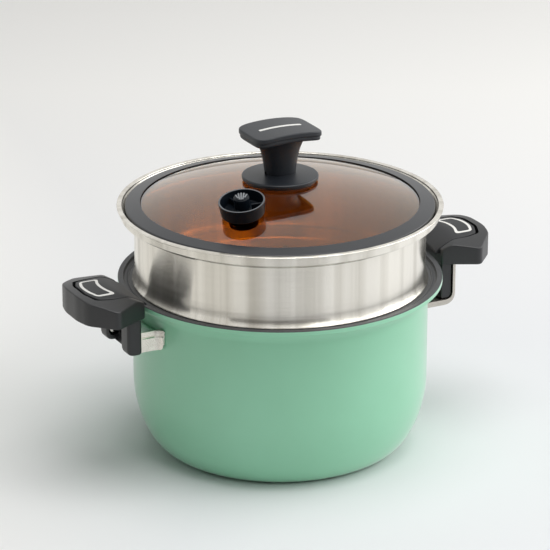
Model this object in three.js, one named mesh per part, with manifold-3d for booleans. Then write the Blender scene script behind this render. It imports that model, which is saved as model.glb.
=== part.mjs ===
import * as THREE from 'three';
import { mergeVertices } from 'three/addons/utils/BufferGeometryUtils.js';
import Module from 'manifold-3d';

// All sizes are millimetres. +Z is up, the handles lie along X and the base rests on Z = 0.

// Fits
const FIT = 0.3;             // clearance between turned or cut pieces that rest on each other
const SLIDE = 0.5;           // clearance round a sliding piece
const RIM_GAP = 2.3;         // clearance between the pot lip and a handle
const TIP_GAP = 1.0;         // clearance between the pot lip and the tip of an open tongue
const FOOT_GAP = 6.2;        // clearance between the steamer foot and the outside of the ledge
const SKIRT_GAP = 1.2;       // clearance between the steamer skirt and the pot bore
const SEAL_GAP = 2.5;        // clearance between the lid ring and the steamer bead
const EDGE = 0.5;            // small edge break
const TURNS = 44;            // flats round a large turned piece
const MID_TURNS = 28;        // flats round a medium turned piece
const SMALL_TURNS = 16;      // flats round a small turned piece

// Pot
const BODY_R = 119;          // outside radius of the pot wall
const WALL = 3.6;            // pot wall thickness
const CORNER_IN = 27;        // width of the rounded lower corner
const CORNER_TOP = 57;       // height where the rounded corner meets the wall
const CORNER_POWER = 1.8;    // fullness of the rounded corner
const FOOT_Z = 1.0;          // height of the cast foot above the table
const FLOOR_T = 3.2;         // thickness of the pot floor above the induction plate
const RIM_Z = 143.2;         // height of the pot rim
const LIP_OVER = 11.5;       // overhang of the lip past the wall
const LIP_W = 4.6;           // width of the flat top of the lip
const LIP_T = 3.7;           // height of the outer edge of the lip
const COVE_H = 11.5;         // height of the hollow under the lip
const LEDGE_DROP = 2.8;      // depth of the lid ledge below the lip
const LEDGE_W = 8.0;         // width of the lid ledge
const THROAT_H = 4.0;        // height of the taper between ledge and bore

// Induction plate
const PLATE_IN = 8.0;        // margin between the plate and the rounded corner
const PLATE_T = 3.0;         // plate thickness

// Steamer
const SHEET = 1.2;           // steel sheet thickness
const STEAMER_H = 62.6;      // height from the foot to the top of the bead
const FOOT_FLARE = 2.5;      // how far the foot flares out past the wall
const FLARE_H = 8.0;         // height of the flare
const BEAD_OUT = 11.1;       // how far the bead stands out past the foot
const BEAD_H = 3.4;          // height of the bead
const BEAD_W = 4.1;          // width of the bead
const SHOULDER_H = 9.4;      // height of the conical shoulder under the bead
const SKIRT_H = 9.0;         // depth of the pierced floor below the foot
const HOLE_R = 2.5;          // radius of a steam hole
const HOLE_STEP = 30;        // spacing of the rings of steam holes
const HOLE_RINGS = 3;        // rings of steam holes
const RING_HOLES = 6;        // holes in the first ring, added again in each further ring

// Lid
const GLASS_T = 4.0;         // glass thickness
const DOME_R = 333;          // outside radius of the dome
const SEAL_W = 12.2;         // width of the silicone ring
const SEAL_WALL = 5.9;       // thickness of the ring outside the glass edge
const SEAL_SET = 1.0;        // how far the lower lip is set back from the upper lip
const SEAL_TAPER = 5.3;      // width of the tapered underside of the ring
const SEAL_LIP = 1.9;        // thickness of the upper lip at its inner edge
const SEAL_EDGE = 3.6;       // height of the outer face of the ring
const SEAL_LOW = 4.6;        // thickness of the lower lip

// Knob
const DISC_R = 31;           // radius of the round base
const DISC_T = 2.6;          // thickness of the base at its edge
const DISC_RISE = 1.0;       // rise of the base from its edge to the stem
const STEM_U = 13.4;         // half width of the stem along the handles
const STEM_S = 10.4;         // half width of the stem across
const STEM_FLARE = 8.4;      // how far the stem flares out under the plate
const FLARE_DEPTH = 16;      // height of that flare
const KNOB_H = 38;           // height of the knob above its base
const KNOB_L = 58;           // length of the knob plate along the handles
const KNOB_W = 45;           // width of the plate
const KNOB_POWER = 5;        // squareness of the plate
const KNOB_ARCH = 2.6;       // drop of the plate from its middle to its ends
const CAP_T = 4.0;           // thickness of the cap
const UNDER_T = 3.4;         // thickness of the plate under the cap
const UNDER_INSET = 0.8;     // how far the plate is set in under the cap
const GASKET_T = 0.8;        // knob gasket thickness
const GASKET_R = 20;         // knob gasket radius
const KNOB_SCREW_R = 2.5;    // knob screw shank radius
const KNOB_COVER = 6.0;      // plastic between the screw tip and the plate
const KNOB_WASHER_R = 9;     // knob washer radius
const KNOB_WASHER_T = 1.4;   // knob washer thickness
const KNOB_HEAD_R = 5.5;     // knob screw head radius
const KNOB_HEAD_T = 3.0;     // knob screw head thickness

// Pressure valve
const VALVE_AT = 72.4;       // distance of the valve from the lid axis
const VALVE_TURN = 219.6;    // direction of the valve from the lid axis in degrees
const CUP_R = 18.3;          // radius of the cup rim
const CUP_TAPER = 1.3;       // how much narrower the foot of the cup is
const CUP_H = 11.5;          // height of the cup
const CUP_WALL = 1.8;        // cup wall thickness
const CUP_FLOOR = 2.2;       // cup floor thickness
const BOSS_H = 3.0;          // height of the boss above the cup floor
const BOSS_WALL = 2.6;       // wall of the boss round the steam bore
const WEB_T = 1.6;           // thickness of the webs in the cup
const WEB_H = 5.0;           // height of the webs
const STEM_WALL = 2.9;       // wall of the stem through the glass
const NUT_REACH = 1.0;       // how far the stem stands out below the nut
const BORE_R = 2.6;          // radius of the steam bore
const HUB_R = 6.2;           // radius of the hub
const HUB_H = 9.0;           // height of the hub
const HUB_PIN_L = 8;         // length of the pin under the hub
const VALVE_GASKET_R = 12;   // valve gasket radius
const VALVE_GASKET_T = 1.2;  // valve gasket thickness
const NUT_R = 11.5;          // valve nut radius
const NUT_T = 5.0;           // valve nut thickness

// Handle, measured outwards from its inner end and up or down from the pot rim
const GRIP_L = 50.2;         // length from the inner end to the outer edge
const GRIP_END_S = 10.5;     // half width of the straight part of the outer edge
const CORNER_U = 47.2;       // distance of the outer corners
const CORNER_S = 24.8;       // half width at the outer corners
const WIDE_U = 29.0;         // distance of the widest place
const WIDE_S = 44;           // half width there
const ROOT_S = 29.5;         // half width at the inner end
const GRIP_RISE = 15.3;      // height of the crown above the rim
const GRIP_T = 21.4;         // thickness of the grip at the crown
const CROWN_R = 134;         // radius of the crowned top, curved across the handle
const SLOPE_U = 21;          // distance where the top starts to fall towards the pot
const SLOPE_DROP = 8.6;      // fall of the top from there to the inner end
const SLOPE_POWER = 1.4;     // roundness of that fall
const LEG_NEAR = 13;         // distance of the inner side of each leg from the middle plane
const LEG_W = 14;            // width of each leg
const LEG_L = 31.4;          // length of a leg that holds a stay, below the grip
const STRAP_LEG_L = 29.4;    // length of a leg that stands in the strap
const LEG_SET = 1.7;         // how far the legs are set back from the inner end
const LEG_D = 12.3;          // depth of a leg that holds a stay
const STRAP_LEG_D = 9.5;     // depth of a leg that stands in the strap
const LEG_ROUND = 6.0;       // rounding of the outer bottom edge of a leg that holds a stay
const STRAP_LEG_ROUND = 7.0; // rounding of the outer bottom edge of a leg that stands in the strap
const LEG_EDGE = 1.8;        // rounding of the inner bottom edge of a leg

// Lock tongue, measured like the handle
const TONGUE_L = 41.7;       // distance of the outer end
const TONGUE_END_S = 10.5;   // half width of the straight part of the outer end
const TONGUE_CORNER_U = 36.7; // distance of the outer corners
const TONGUE_CORNER_S = 22.5; // half width at the outer corners
const TONGUE_U = 24.5;       // distance where the parallel sides end
const TONGUE_S = 25.4;       // half width of the parallel sides
const TONGUE_REVEAL = 2.0;   // open groove beyond the outer end
const TONGUE_Z = 2.4;        // height of the channel floor above the rim
const TRAVEL = 8;            // travel of the tongue towards the pot
const GUIDE_U = 28;          // distance of the guide screw
const GUIDE_R = 2.2;         // guide screw shank radius
const GUIDE_L = 8.0;         // length of the guide screw in the tongue
const GUIDE_HEAD_R = 4.6;    // guide screw head radius
const GUIDE_HEAD_T = 2.4;    // guide screw head thickness

// Brackets, measured down from the pot rim
const STRAP_T = 2.5;         // bracket sheet thickness
const STRAP_S = 28.5;        // half width of the strap
const STRAP_DROP = 42.3;     // depth of the underside of the strap
const STRAP_PLATE_H = 18;    // height of the wall plate of the strap
const STRAP_BEND = 14.5;     // outside radius of the strap bend
const STAY_SKIN = 1.6;       // plastic between the stay and the outer side of its leg
const STAY_DROP = 34.5;      // depth of the lower edge of a stay
const STAY_FLANGE = 4.0;     // width of the flange of a stay on the pot wall
const STAY_PLATE_H = 11.6;   // height of the plate between the stays
const STAY_H = 16.5;         // height of a stay
const STAY_BACK = 1.6;       // plastic between the end of a stay and the outer face of its leg
const RIVET_R = 2.5;         // rivet shank radius
const RIVET_HEAD_R = 4.5;    // rivet head radius
const RIVET_HEAD_T = 1.8;    // rivet head thickness
const RIVET_TURN = 5.5;      // angle of each rivet from the handle axis in degrees
const RIVET_DROP = 30.0;     // depth of the rivets
const SCREW_R = 2.0;         // handle screw shank radius
const SCREW_HEAD_R = 3.7;    // handle screw head radius
const SCREW_HEAD_T = 2.2;    // handle screw head thickness
const SCREW_L = 7.0;         // length of a strap screw in the leg
const STRAP_SCREW_DROP = 22; // depth of a strap screw
const STAY_SCREW_DROP = 29;  // depth of a stay screw
const STAY_SCREW_IN = 6.0;   // distance of a stay screw from the inner face of its leg
const COUNTER_R = 4.7;       // radius of the counterbore for a stay screw
const COUNTER_D = 3.4;       // depth of that counterbore

const wasm = await Module();
wasm.setup();
const part = new THREE.Group();
part.name = 'steam_cooker';

// Closed solid from a three.js geometry
function solid(geometry) {
  const bare = new THREE.BufferGeometry();
  bare.setAttribute('position', geometry.getAttribute('position').clone());
  if (geometry.index) bare.setIndex(geometry.index.clone());
  const joined = mergeVertices(bare, 1e-4);
  const at = joined.getAttribute('position').array;
  const ids = joined.index.array;
  let tris = [];
  let volume = 0;
  for (let i = 0; i < ids.length; i += 3) {
    const [a, b, c] = [ids[i], ids[i + 1], ids[i + 2]];
    if (a === b || b === c || c === a) continue;
    tris.push(a, b, c);
    const va = new THREE.Vector3().fromArray(at, a * 3);
    const vb = new THREE.Vector3().fromArray(at, b * 3);
    const vc = new THREE.Vector3().fromArray(at, c * 3);
    volume += va.dot(vb.cross(vc));
  }
  if (volume < 0) tris = tris.reverse();
  const mesh = { numProp: 3, vertProperties: new Float32Array(at), triVerts: new Uint32Array(tris) };
  return new wasm.Manifold(new wasm.Mesh(mesh));
}

// Turned solid about Z from a closed outline of radius and height
function turned(outline, turns = TURNS) {
  const points = [...outline, outline[0]].map(([r, z]) => new THREE.Vector2(r, z));
  return new THREE.LatheGeometry(points, turns).rotateX(Math.PI / 2);
}

// Plan outline raised from one height to another
function raised(outline, low, high) {
  const shape = new THREE.Shape(outline.map(([x, y]) => new THREE.Vector2(x, y)));
  const block = new THREE.ExtrudeGeometry(shape, { depth: high - low, bevelEnabled: false });
  return block.translate(0, 0, low);
}

// Side outline of distance and height, run across the handle
function across(outline, from, to) {
  return raised(outline, 0, to - from).rotateX(Math.PI / 2).translate(0, to, 0);
}

// End outline of offset and height, run along the handle
function along(outline, from, to) {
  const turn = new THREE.Matrix4().makeBasis(
    new THREE.Vector3(0, 1, 0), new THREE.Vector3(0, 0, 1), new THREE.Vector3(1, 0, 0));
  return raised(outline, from, to).applyMatrix4(turn);
}

function rect(x0, x1, y0, y1) {
  return [[x0, y0], [x1, y0], [x1, y1], [x0, y1]];
}

// Arc points from one angle to another in degrees
function arc(x, y, radius, from, to, steps) {
  const points = [];
  for (let i = 0; i <= steps; i += 1) {
    const a = THREE.MathUtils.degToRad(from + (to - from) * i / steps);
    points.push([x + radius * Math.cos(a), y + radius * Math.sin(a)]);
  }
  return points;
}

// Round bar along X or Y
function barX(radius, from, to, y, z, turns = SMALL_TURNS) {
  const bar = new THREE.CylinderGeometry(radius, radius, to - from, turns).rotateZ(Math.PI / 2);
  return bar.translate((from + to) / 2, y, z);
}

function barY(radius, from, to, x, z, turns = SMALL_TURNS) {
  const bar = new THREE.CylinderGeometry(radius, radius, to - from, turns);
  return bar.translate(x, (from + to) / 2, z);
}

function join(...list) {
  return list.map((item) => item instanceof THREE.BufferGeometry ? solid(item) : item)
    .reduce((sum, item) => sum.add(item));
}

function cut(body, ...list) {
  const first = body instanceof THREE.BufferGeometry ? solid(body) : body;
  return list.map((item) => item instanceof THREE.BufferGeometry ? solid(item) : item)
    .reduce((sum, item) => sum.subtract(item), first);
}

function common(a, b) {
  const list = [a, b].map((item) => item instanceof THREE.BufferGeometry ? solid(item) : item);
  return list[0].intersect(list[1]);
}

function toGeometry(body) {
  const mesh = body.getMesh();
  const geometry = new THREE.BufferGeometry();
  const at = new Float32Array(mesh.vertProperties);
  geometry.setAttribute('position', new THREE.BufferAttribute(at, 3));
  geometry.setIndex(new THREE.BufferAttribute(new Uint32Array(mesh.triVerts), 1));
  return geometry;
}

const finish = {
  mint: { color: 0x7db497, roughness: 0.42, metalness: 0.0 },
  steel: { color: 0xc4beb5, roughness: 0.28, metalness: 1.0 },
  plate: { color: 0x8d8b88, roughness: 0.4, metalness: 1.0 },
  plastic: { color: 0x2b2c2d, roughness: 0.55, metalness: 0.0 },
  tongue: { color: 0x343536, roughness: 0.6, metalness: 0.0 },
  knob: { color: 0x2f3033, roughness: 0.5, metalness: 0.0 },
  valve: { color: 0x16191c, roughness: 0.45, metalness: 0.0 },
  silicone: { color: 0x54565a, roughness: 0.6, metalness: 0.0 },
  glass: { color: 0x9a5a26, roughness: 0.05, metalness: 0.0, transparent: true, opacity: 0.5 },
};

function add(name, body, kind, place = (geometry) => geometry) {
  const geometry = body instanceof THREE.BufferGeometry ? toGeometry(solid(body)) : toGeometry(body);
  const mesh = new THREE.Mesh(place(geometry), new THREE.MeshStandardMaterial(finish[kind]));
  mesh.geometry.computeVertexNormals();
  mesh.name = name;
  part.add(mesh);
}

// Pot
const boreR = BODY_R - WALL;
const lipR = BODY_R + LIP_OVER;
const footR = BODY_R - CORNER_IN;
const plateR = footR - PLATE_IN;
const floorZ = PLATE_T + FIT + FLOOR_T;
const ledgeZ = RIM_Z - LEDGE_DROP;
const ledgeOut = lipR - LIP_W - EDGE;
const coveZ = RIM_Z - LIP_T - COVE_H;
function corner(inR, outR, low, high, steps) {
  const points = [];
  for (let i = 0; i <= steps; i += 1) {
    const a = Math.PI / 2 * i / steps;
    const r = inR + (outR - inR) * Math.sin(a) ** (2 / CORNER_POWER);
    points.push([r, low + (high - low) * (1 - Math.cos(a) ** (2 / CORNER_POWER))]);
  }
  return points;
}
const cove = [15, 35, 55, 72, 90].map((deg) => {
  const a = THREE.MathUtils.degToRad(deg);
  return [BODY_R + LIP_OVER * (1 - Math.cos(a)), coveZ + COVE_H * Math.sin(a)];
});
const pot = turned([
  [0, PLATE_T + FIT],
  [plateR + FIT, PLATE_T + FIT],
  [plateR + FIT, FOOT_Z],
  ...corner(footR, BODY_R, FOOT_Z, CORNER_TOP, 8),
  [BODY_R, coveZ],
  ...cove,
  [lipR, RIM_Z - EDGE],
  [lipR - EDGE, RIM_Z],
  [lipR - LIP_W, RIM_Z],
  [ledgeOut, ledgeZ],
  [ledgeOut - LEDGE_W, ledgeZ],
  [boreR, ledgeZ - THROAT_H],
  ...corner(footR - WALL, boreR, floorZ, CORNER_TOP, 6).reverse(),
  [0, floorZ],
]);
const rivetTurns = [-RIVET_TURN, RIVET_TURN].map((deg) => THREE.MathUtils.degToRad(deg));
const rivetZ = RIM_Z - RIVET_DROP;
const rivetHoles = [0, Math.PI].flatMap((side) => rivetTurns.map((turn) =>
  barX(RIVET_R + FIT, boreR - WALL, BODY_R + WALL, 0, rivetZ).rotateZ(side + turn)));
add('pot_body', cut(pot, ...rivetHoles), 'mint');
add('base_plate', turned([[0, 0], [plateR, 0], [plateR, PLATE_T], [0, PLATE_T]]), 'plate');

// Steamer
const footZ = ledgeZ + FIT;
const beadZ = footZ + STEAMER_H;
const flareR = ledgeOut - FOOT_GAP;
const steamerR = flareR - FOOT_FLARE;
const innerR = steamerR - SHEET;
const beadR = flareR + BEAD_OUT;
const coneTop = beadZ - BEAD_H;
const coneZ = coneTop - SHOULDER_H;
const beadIn = beadR - BEAD_W;
const skirtR = boreR - SKIRT_GAP;
const pierceZ = footZ - SKIRT_H;
const flare = [0, 30, 60, 90].map((deg) => {
  const a = THREE.MathUtils.degToRad(deg);
  return [flareR - FOOT_FLARE * Math.sin(a), footZ + SHEET + (FLARE_H - SHEET) * (1 - Math.cos(a))];
});
const flareInside = [90, 50, 15].map((deg) => {
  const a = THREE.MathUtils.degToRad(deg);
  return [flareR - SHEET - FOOT_FLARE * Math.sin(a), footZ + SHEET + (FLARE_H - SHEET) * (1 - Math.cos(a))];
});
const bowl = turned([
  [0, pierceZ],
  [skirtR - SHEET, pierceZ],
  [skirtR, pierceZ + SHEET],
  [skirtR, footZ],
  [flareR, footZ],
  ...flare,
  [steamerR, coneZ],
  [beadR - SHEET * 2, coneTop],
  [beadR - EDGE, coneTop + EDGE],
  [beadR, beadZ - BEAD_H / 2],
  [beadR - EDGE * 2, beadZ - EDGE],
  [beadR - BEAD_W / 2, beadZ],
  [beadIn, beadZ - EDGE],
  [beadIn, coneTop + SHEET],
  [innerR, coneZ + SHEET],
  ...flareInside,
  [skirtR - SHEET, footZ + SHEET],
  [skirtR - SHEET, pierceZ + SHEET],
  [0, pierceZ + SHEET],
]);
const holes = [];
for (let ring = 1; ring <= HOLE_RINGS; ring += 1) {
  const count = RING_HOLES * ring;
  for (let i = 0; i < count; i += 1) {
    const hole = new THREE.CylinderGeometry(HOLE_R, HOLE_R, SHEET * 5, 8).rotateX(Math.PI / 2);
    holes.push(hole.translate(HOLE_STEP * ring, 0, pierceZ).rotateZ(2 * Math.PI * i / count));
  }
}
add('steamer', cut(bowl, ...holes), 'steel');

// Lid glass and silicone ring, resting in the conical shoulder
const sealR = beadIn - SEAL_GAP;
const sealIn = sealR - SEAL_W;
const sealLowIn = sealIn + SEAL_SET;
const sealLowR = sealR - SEAL_TAPER;
const glassR = sealR - SEAL_WALL - FIT;
const coneSlope = (coneTop - coneZ) / (beadIn - innerR);
const coneAt = (r) => coneZ + SHEET + (r - innerR) * coneSlope;
const sealLow = coneAt(sealLowR) + FIT;
const glassLow = (r) => DOME_R - GLASS_T - Math.sqrt((DOME_R - GLASS_T) ** 2 - r * r);
const glassHigh = (r) => DOME_R - Math.sqrt(DOME_R ** 2 - r * r);
const crownZ = sealLow + SEAL_LOW + FIT + glassLow(sealLowIn) + GLASS_T;
const under = (r) => crownZ - GLASS_T - glassLow(r);
const over = (r) => crownZ - glassHigh(r);
const radii = [KNOB_WASHER_R, ...[0.25, 0.45, 0.65, 0.85, 1].map((share) => share * glassR)];
const dome = turned([
  [0, crownZ - GLASS_T],
  ...radii.map((r) => [r, under(r)]),
  ...radii.map((r) => [r, over(r)]).reverse(),
  [0, crownZ],
]);
const valveStemR = BORE_R + STEM_WALL;
const valveTilt = Math.asin(VALVE_AT / DOME_R);
const valveZ = over(VALVE_AT);
function atValve(geometry) {
  return geometry.rotateY(valveTilt).translate(VALVE_AT, 0, valveZ)
    .rotateZ(THREE.MathUtils.degToRad(VALVE_TURN));
}
const knobHole = KNOB_SCREW_R + FIT * 4;
const drill = (radius, low, high) => turned([[0, low], [radius, low], [radius, high], [0, high]], SMALL_TURNS);
const pierced = cut(dome,
  drill(knobHole, crownZ - GLASS_T * 2, crownZ + GLASS_T),
  atValve(drill(valveStemR + FIT, -GLASS_T * 2, GLASS_T)));
add('lid_glass', pierced, 'glass');
const sealTop = over(sealIn) + FIT + SEAL_LIP;
const edgeLow = coneAt(sealR) + FIT;
const glassEdge = glassR + FIT;
add('lid_seal', turned([
  [sealIn, over(sealIn) + FIT],
  [sealIn, sealTop - EDGE],
  [sealIn + EDGE, sealTop],
  [sealR - EDGE, edgeLow + SEAL_EDGE],
  [sealR, edgeLow + SEAL_EDGE - EDGE],
  [sealR, edgeLow],
  [sealLowR, sealLow],
  [sealLowIn + EDGE, sealLow],
  [sealLowIn, sealLow + EDGE],
  [sealLowIn, under(sealLowIn) - FIT],
  [glassEdge, under(glassR) - FIT],
  [glassEdge, over(glassR) + FIT],
]), 'silicone');

// Knob on the lid axis
const discLow = crownZ + GASKET_T + FIT * 2;
const discTop = discLow + DISC_T + DISC_RISE;
const knobTop = discTop + KNOB_H;
const shank = KNOB_SCREW_R + FIT;
add('knob_gasket', turned([
  [knobHole, crownZ + FIT],
  [GASKET_R, crownZ + FIT],
  [GASKET_R, crownZ + FIT + GASKET_T],
  [knobHole, crownZ + FIT + GASKET_T],
], SMALL_TURNS), 'silicone');
add('knob_base', turned([
  [shank, discLow],
  [DISC_R - EDGE, discLow],
  [DISC_R, discLow + EDGE],
  [DISC_R, discLow + DISC_T - EDGE],
  [DISC_R - EDGE, discLow + DISC_T],
  [STEM_U, discTop],
  [shank, discTop],
], MID_TURNS), 'knob');

// Plan of the knob plate, set in by a margin
function plateOutline(inset) {
  const points = [];
  for (let i = 0; i < MID_TURNS; i += 1) {
    const a = 2 * Math.PI * (i + 0.5) / MID_TURNS;
    const round = (value, half) => Math.sign(value) * half * Math.abs(value) ** (2 / KNOB_POWER);
    points.push([round(Math.cos(a), KNOB_L / 2 - inset), round(Math.sin(a), KNOB_W / 2 - inset)]);
  }
  return points;
}

// Side outline between two arched heights
function archBand(low, high) {
  const line = [];
  for (let i = -6; i <= 6; i += 1) line.push([KNOB_L * i / 12, -KNOB_ARCH * (i / 6) ** 2]);
  const top = line.map(([x, drop]) => [x, high + drop]);
  const bottom = line.map(([x, drop]) => [x, low + drop]).reverse();
  return across([...bottom, ...top], -KNOB_L, KNOB_L);
}
const capLow = knobTop - CAP_T;
const underTop = capLow - FIT;
const underLow = underTop - UNDER_T;
add('knob_cap', common(raised(plateOutline(0), discTop, knobTop + CAP_T), archBand(capLow, knobTop)), 'knob');
const stemFoot = discTop + FIT;
const stemTop = underLow - KNOB_ARCH + UNDER_T / 2;
const screwTip = underLow - KNOB_COVER;
const stem = turned([
  [0, stemFoot],
  [STEM_S, stemFoot],
  [STEM_S, stemTop - FLARE_DEPTH],
  ...[30, 60, 90].map((deg) => {
    const a = THREE.MathUtils.degToRad(deg);
    return [STEM_S + STEM_FLARE * (1 - Math.cos(a)), stemTop - FLARE_DEPTH * (1 - Math.sin(a))];
  }),
  [0, stemTop],
], MID_TURNS).scale(STEM_U / STEM_S, 1, 1);
const plate = common(
  raised(plateOutline(UNDER_INSET), discTop, knobTop), archBand(underLow, underTop));
add('knob_grip', cut(join(stem, plate), drill(shank, discTop - FIT, screwTip + FIT)), 'knob');
const washerTop = under(KNOB_WASHER_R) - FIT;
const headTop = washerTop - KNOB_WASHER_T - FIT;
add('knob_washer', turned([
  [shank, washerTop - KNOB_WASHER_T],
  [KNOB_WASHER_R, washerTop - KNOB_WASHER_T],
  [KNOB_WASHER_R, washerTop],
  [shank, washerTop],
], SMALL_TURNS), 'steel');
add('knob_screw', turned([
  [0, headTop - KNOB_HEAD_T],
  [KNOB_HEAD_R, headTop - KNOB_HEAD_T],
  [KNOB_HEAD_R, headTop],
  [KNOB_SCREW_R, headTop],
  [KNOB_SCREW_R, screwTip],
  [0, screwTip],
], SMALL_TURNS), 'steel');

// Pressure valve, drawn on its own axis and set square to the glass
const cupLow = VALVE_GASKET_T + FIT * 2;
const cupTop = cupLow + CUP_H;
const cupFloor = cupLow + CUP_FLOOR;
const bossTop = cupFloor + BOSS_H;
const bossR = BORE_R + BOSS_WALL;
const cupFootR = CUP_R - CUP_TAPER;
const nutTop = -GLASS_T - FIT * 2;
const stemLow = nutTop - NUT_T - NUT_REACH;
add('valve_gasket', atValve(turned([
  [valveStemR + FIT, FIT],
  [VALVE_GASKET_R, FIT],
  [VALVE_GASKET_R, FIT + VALVE_GASKET_T],
  [valveStemR + FIT, FIT + VALVE_GASKET_T],
], SMALL_TURNS)), 'silicone');
const cup = turned([
  [BORE_R, stemLow],
  [valveStemR, stemLow],
  [valveStemR, cupLow],
  [cupFootR - EDGE, cupLow],
  [cupFootR, cupLow + EDGE],
  [CUP_R, cupTop - EDGE],
  [CUP_R - EDGE, cupTop],
  [CUP_R - CUP_WALL, cupTop],
  [cupFootR - CUP_WALL, cupFloor],
  [bossR, cupFloor],
  [bossR, bossTop],
  [BORE_R, bossTop],
], MID_TURNS);
const webs = [0, 1, 2].map((i) => raised(
  rect(bossR - EDGE, cupFootR - CUP_WALL / 2, -WEB_T / 2, WEB_T / 2), cupFloor - EDGE, cupFloor + WEB_H)
  .rotateZ(2 * Math.PI * i / 3));
const webRoom = turned([
  [0, bossTop],
  [HUB_R + SLIDE, bossTop],
  [HUB_R + SLIDE, cupTop],
  [0, cupTop],
], SMALL_TURNS);
const steamBore = drill(BORE_R, stemLow - EDGE, cupTop);
add('valve_cup', cut(join(cup, ...webs), webRoom, steamBore), 'valve', atValve);
const hubLow = bossTop + FIT;
add('valve_weight', atValve(turned([
  [0, hubLow - HUB_PIN_L],
  [BORE_R - FIT * 2, hubLow - HUB_PIN_L],
  [BORE_R - FIT * 2, hubLow],
  [HUB_R, hubLow],
  [HUB_R, hubLow + HUB_H - EDGE],
  [HUB_R - EDGE, hubLow + HUB_H],
  [0, hubLow + HUB_H],
], SMALL_TURNS)), 'valve');
add('valve_nut', atValve(turned([
  [valveStemR + FIT, nutTop - NUT_T],
  [NUT_R, nutTop - NUT_T],
  [NUT_R, nutTop],
  [valveStemR + FIT, nutTop],
], SMALL_TURNS)), 'valve');

// Handle, drawn for the +X side and turned half round for the other side
const gripIn = lipR + RIM_GAP;
const gripTop = RIM_Z + GRIP_RISE;
const gripZ = gripTop - GRIP_T;
const legFar = LEG_NEAR + LEG_W;
const legZ = gripZ - LEG_L;
const mirrored = (points) => [...points, ...points.map(([u, s]) => [u, -s]).reverse()];
const pair = (geometry) => [geometry, geometry.clone().scale(1, -1, 1)];
const gripOutline = mirrored([
  [gripIn, -ROOT_S],
  [gripIn + WIDE_U, -WIDE_S],
  [gripIn + CORNER_U, -CORNER_S],
  [gripIn + GRIP_L, -GRIP_END_S],
]);

// Crowned top that falls towards the pot
function crowned(low) {
  const half = THREE.MathUtils.radToDeg(Math.asin(WIDE_S / CROWN_R)) + 1;
  const line = arc(0, gripTop - CROWN_R, CROWN_R, 90 - half, 90 + half, 10);
  const wide = line[0][0];
  const [near, far] = [gripIn - LIP_W, gripIn + GRIP_L + LIP_W];
  const fall = [];
  for (let i = 0; i <= 6; i += 1) {
    const share = i / 6;
    const u = gripIn + SLOPE_U + (near - gripIn - SLOPE_U) * share;
    fall.push([u, gripTop - SLOPE_DROP * ((gripIn + SLOPE_U - u) / SLOPE_U) ** SLOPE_POWER]);
  }
  return common(
    along([[-wide, low], [wide, low], ...line], near, far),
    across([[near, low], [far, low], [far, gripTop + LIP_W], [gripIn + SLOPE_U, gripTop + LIP_W], ...fall],
      -wide, wide));
}

// Tongue plan, widened by a clearance at the sides and the outer end
function tongueOutline(side, end, tip) {
  const turn = THREE.MathUtils.radToDeg(Math.asin((TONGUE_S + side) / tip));
  return [
    ...arc(0, 0, tip, turn, -turn, 6),
    ...mirrored([
      [gripIn + TONGUE_U + end, -TONGUE_S - side],
      [gripIn + TONGUE_CORNER_U + end, -TONGUE_CORNER_S - side],
      [gripIn + TONGUE_L + end, -TONGUE_END_S],
    ]),
  ];
}
const channelZ = RIM_Z + TONGUE_Z;
const channel = raised(tongueOutline(SLIDE, TONGUE_REVEAL, lipR), channelZ, gripTop + LIP_W);
const guideU = gripIn + GUIDE_U;
const slotR = GUIDE_R + SLIDE;
const guideSlot = raised([
  ...arc(guideU - TRAVEL, 0, slotR, 90, 270, 6),
  ...arc(guideU, 0, slotR, 270, 450, 6),
], gripZ - EDGE, channelZ + EDGE);
const legIn = gripIn + LEG_SET;
const legSide = (depth, round, foot) => across([
  [legIn, gripZ + EDGE],
  [legIn, foot + LEG_EDGE],
  ...arc(legIn + LEG_EDGE, foot + LEG_EDGE, LEG_EDGE, 180, 270, 2),
  ...arc(legIn + depth - round, foot + round, round, 270, 360, 4),
  [legIn + depth, gripZ + EDGE],
], LEG_NEAR, legFar);
const gripBlock = cut(common(raised(gripOutline, gripZ, gripTop + LIP_W), crowned(gripZ - LIP_W)),
  channel, guideSlot);

// Stays of the left bracket, in slots of the legs
const stayZ = RIM_Z - STAY_DROP;
const stayFar = legFar - STAY_SKIN - FIT;
const stayOut = legIn + LEG_D - STAY_BACK;
const stayScrewU = legIn + STAY_SCREW_IN;
const stayScrewZ = RIM_Z - STAY_SCREW_DROP;
const stayTip = stayFar + FIT;
const stayRoom = across(
  rect(legIn - EDGE, stayOut + FIT, stayZ - FIT, stayZ + STAY_H + FIT), stayFar - STRAP_T - FIT, stayTip);
const leftHandle = cut(join(gripBlock, ...pair(legSide(LEG_D, LEG_ROUND, legZ))),
  ...pair(stayRoom),
  ...pair(barY(SCREW_R + FIT, LEG_NEAR, stayTip, stayScrewU, stayScrewZ)),
  ...pair(barY(COUNTER_R, LEG_NEAR - EDGE, LEG_NEAR + COUNTER_D, stayScrewU, stayScrewZ)));
const headSeat = LEG_NEAR + COUNTER_D - FIT;
const stayScrews = pair(toGeometry(join(
  barY(SCREW_R, headSeat - EDGE, stayFar, stayScrewU, stayScrewZ),
  barY(SCREW_HEAD_R, headSeat - SCREW_HEAD_T, headSeat, stayScrewU, stayScrewZ))));

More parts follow.
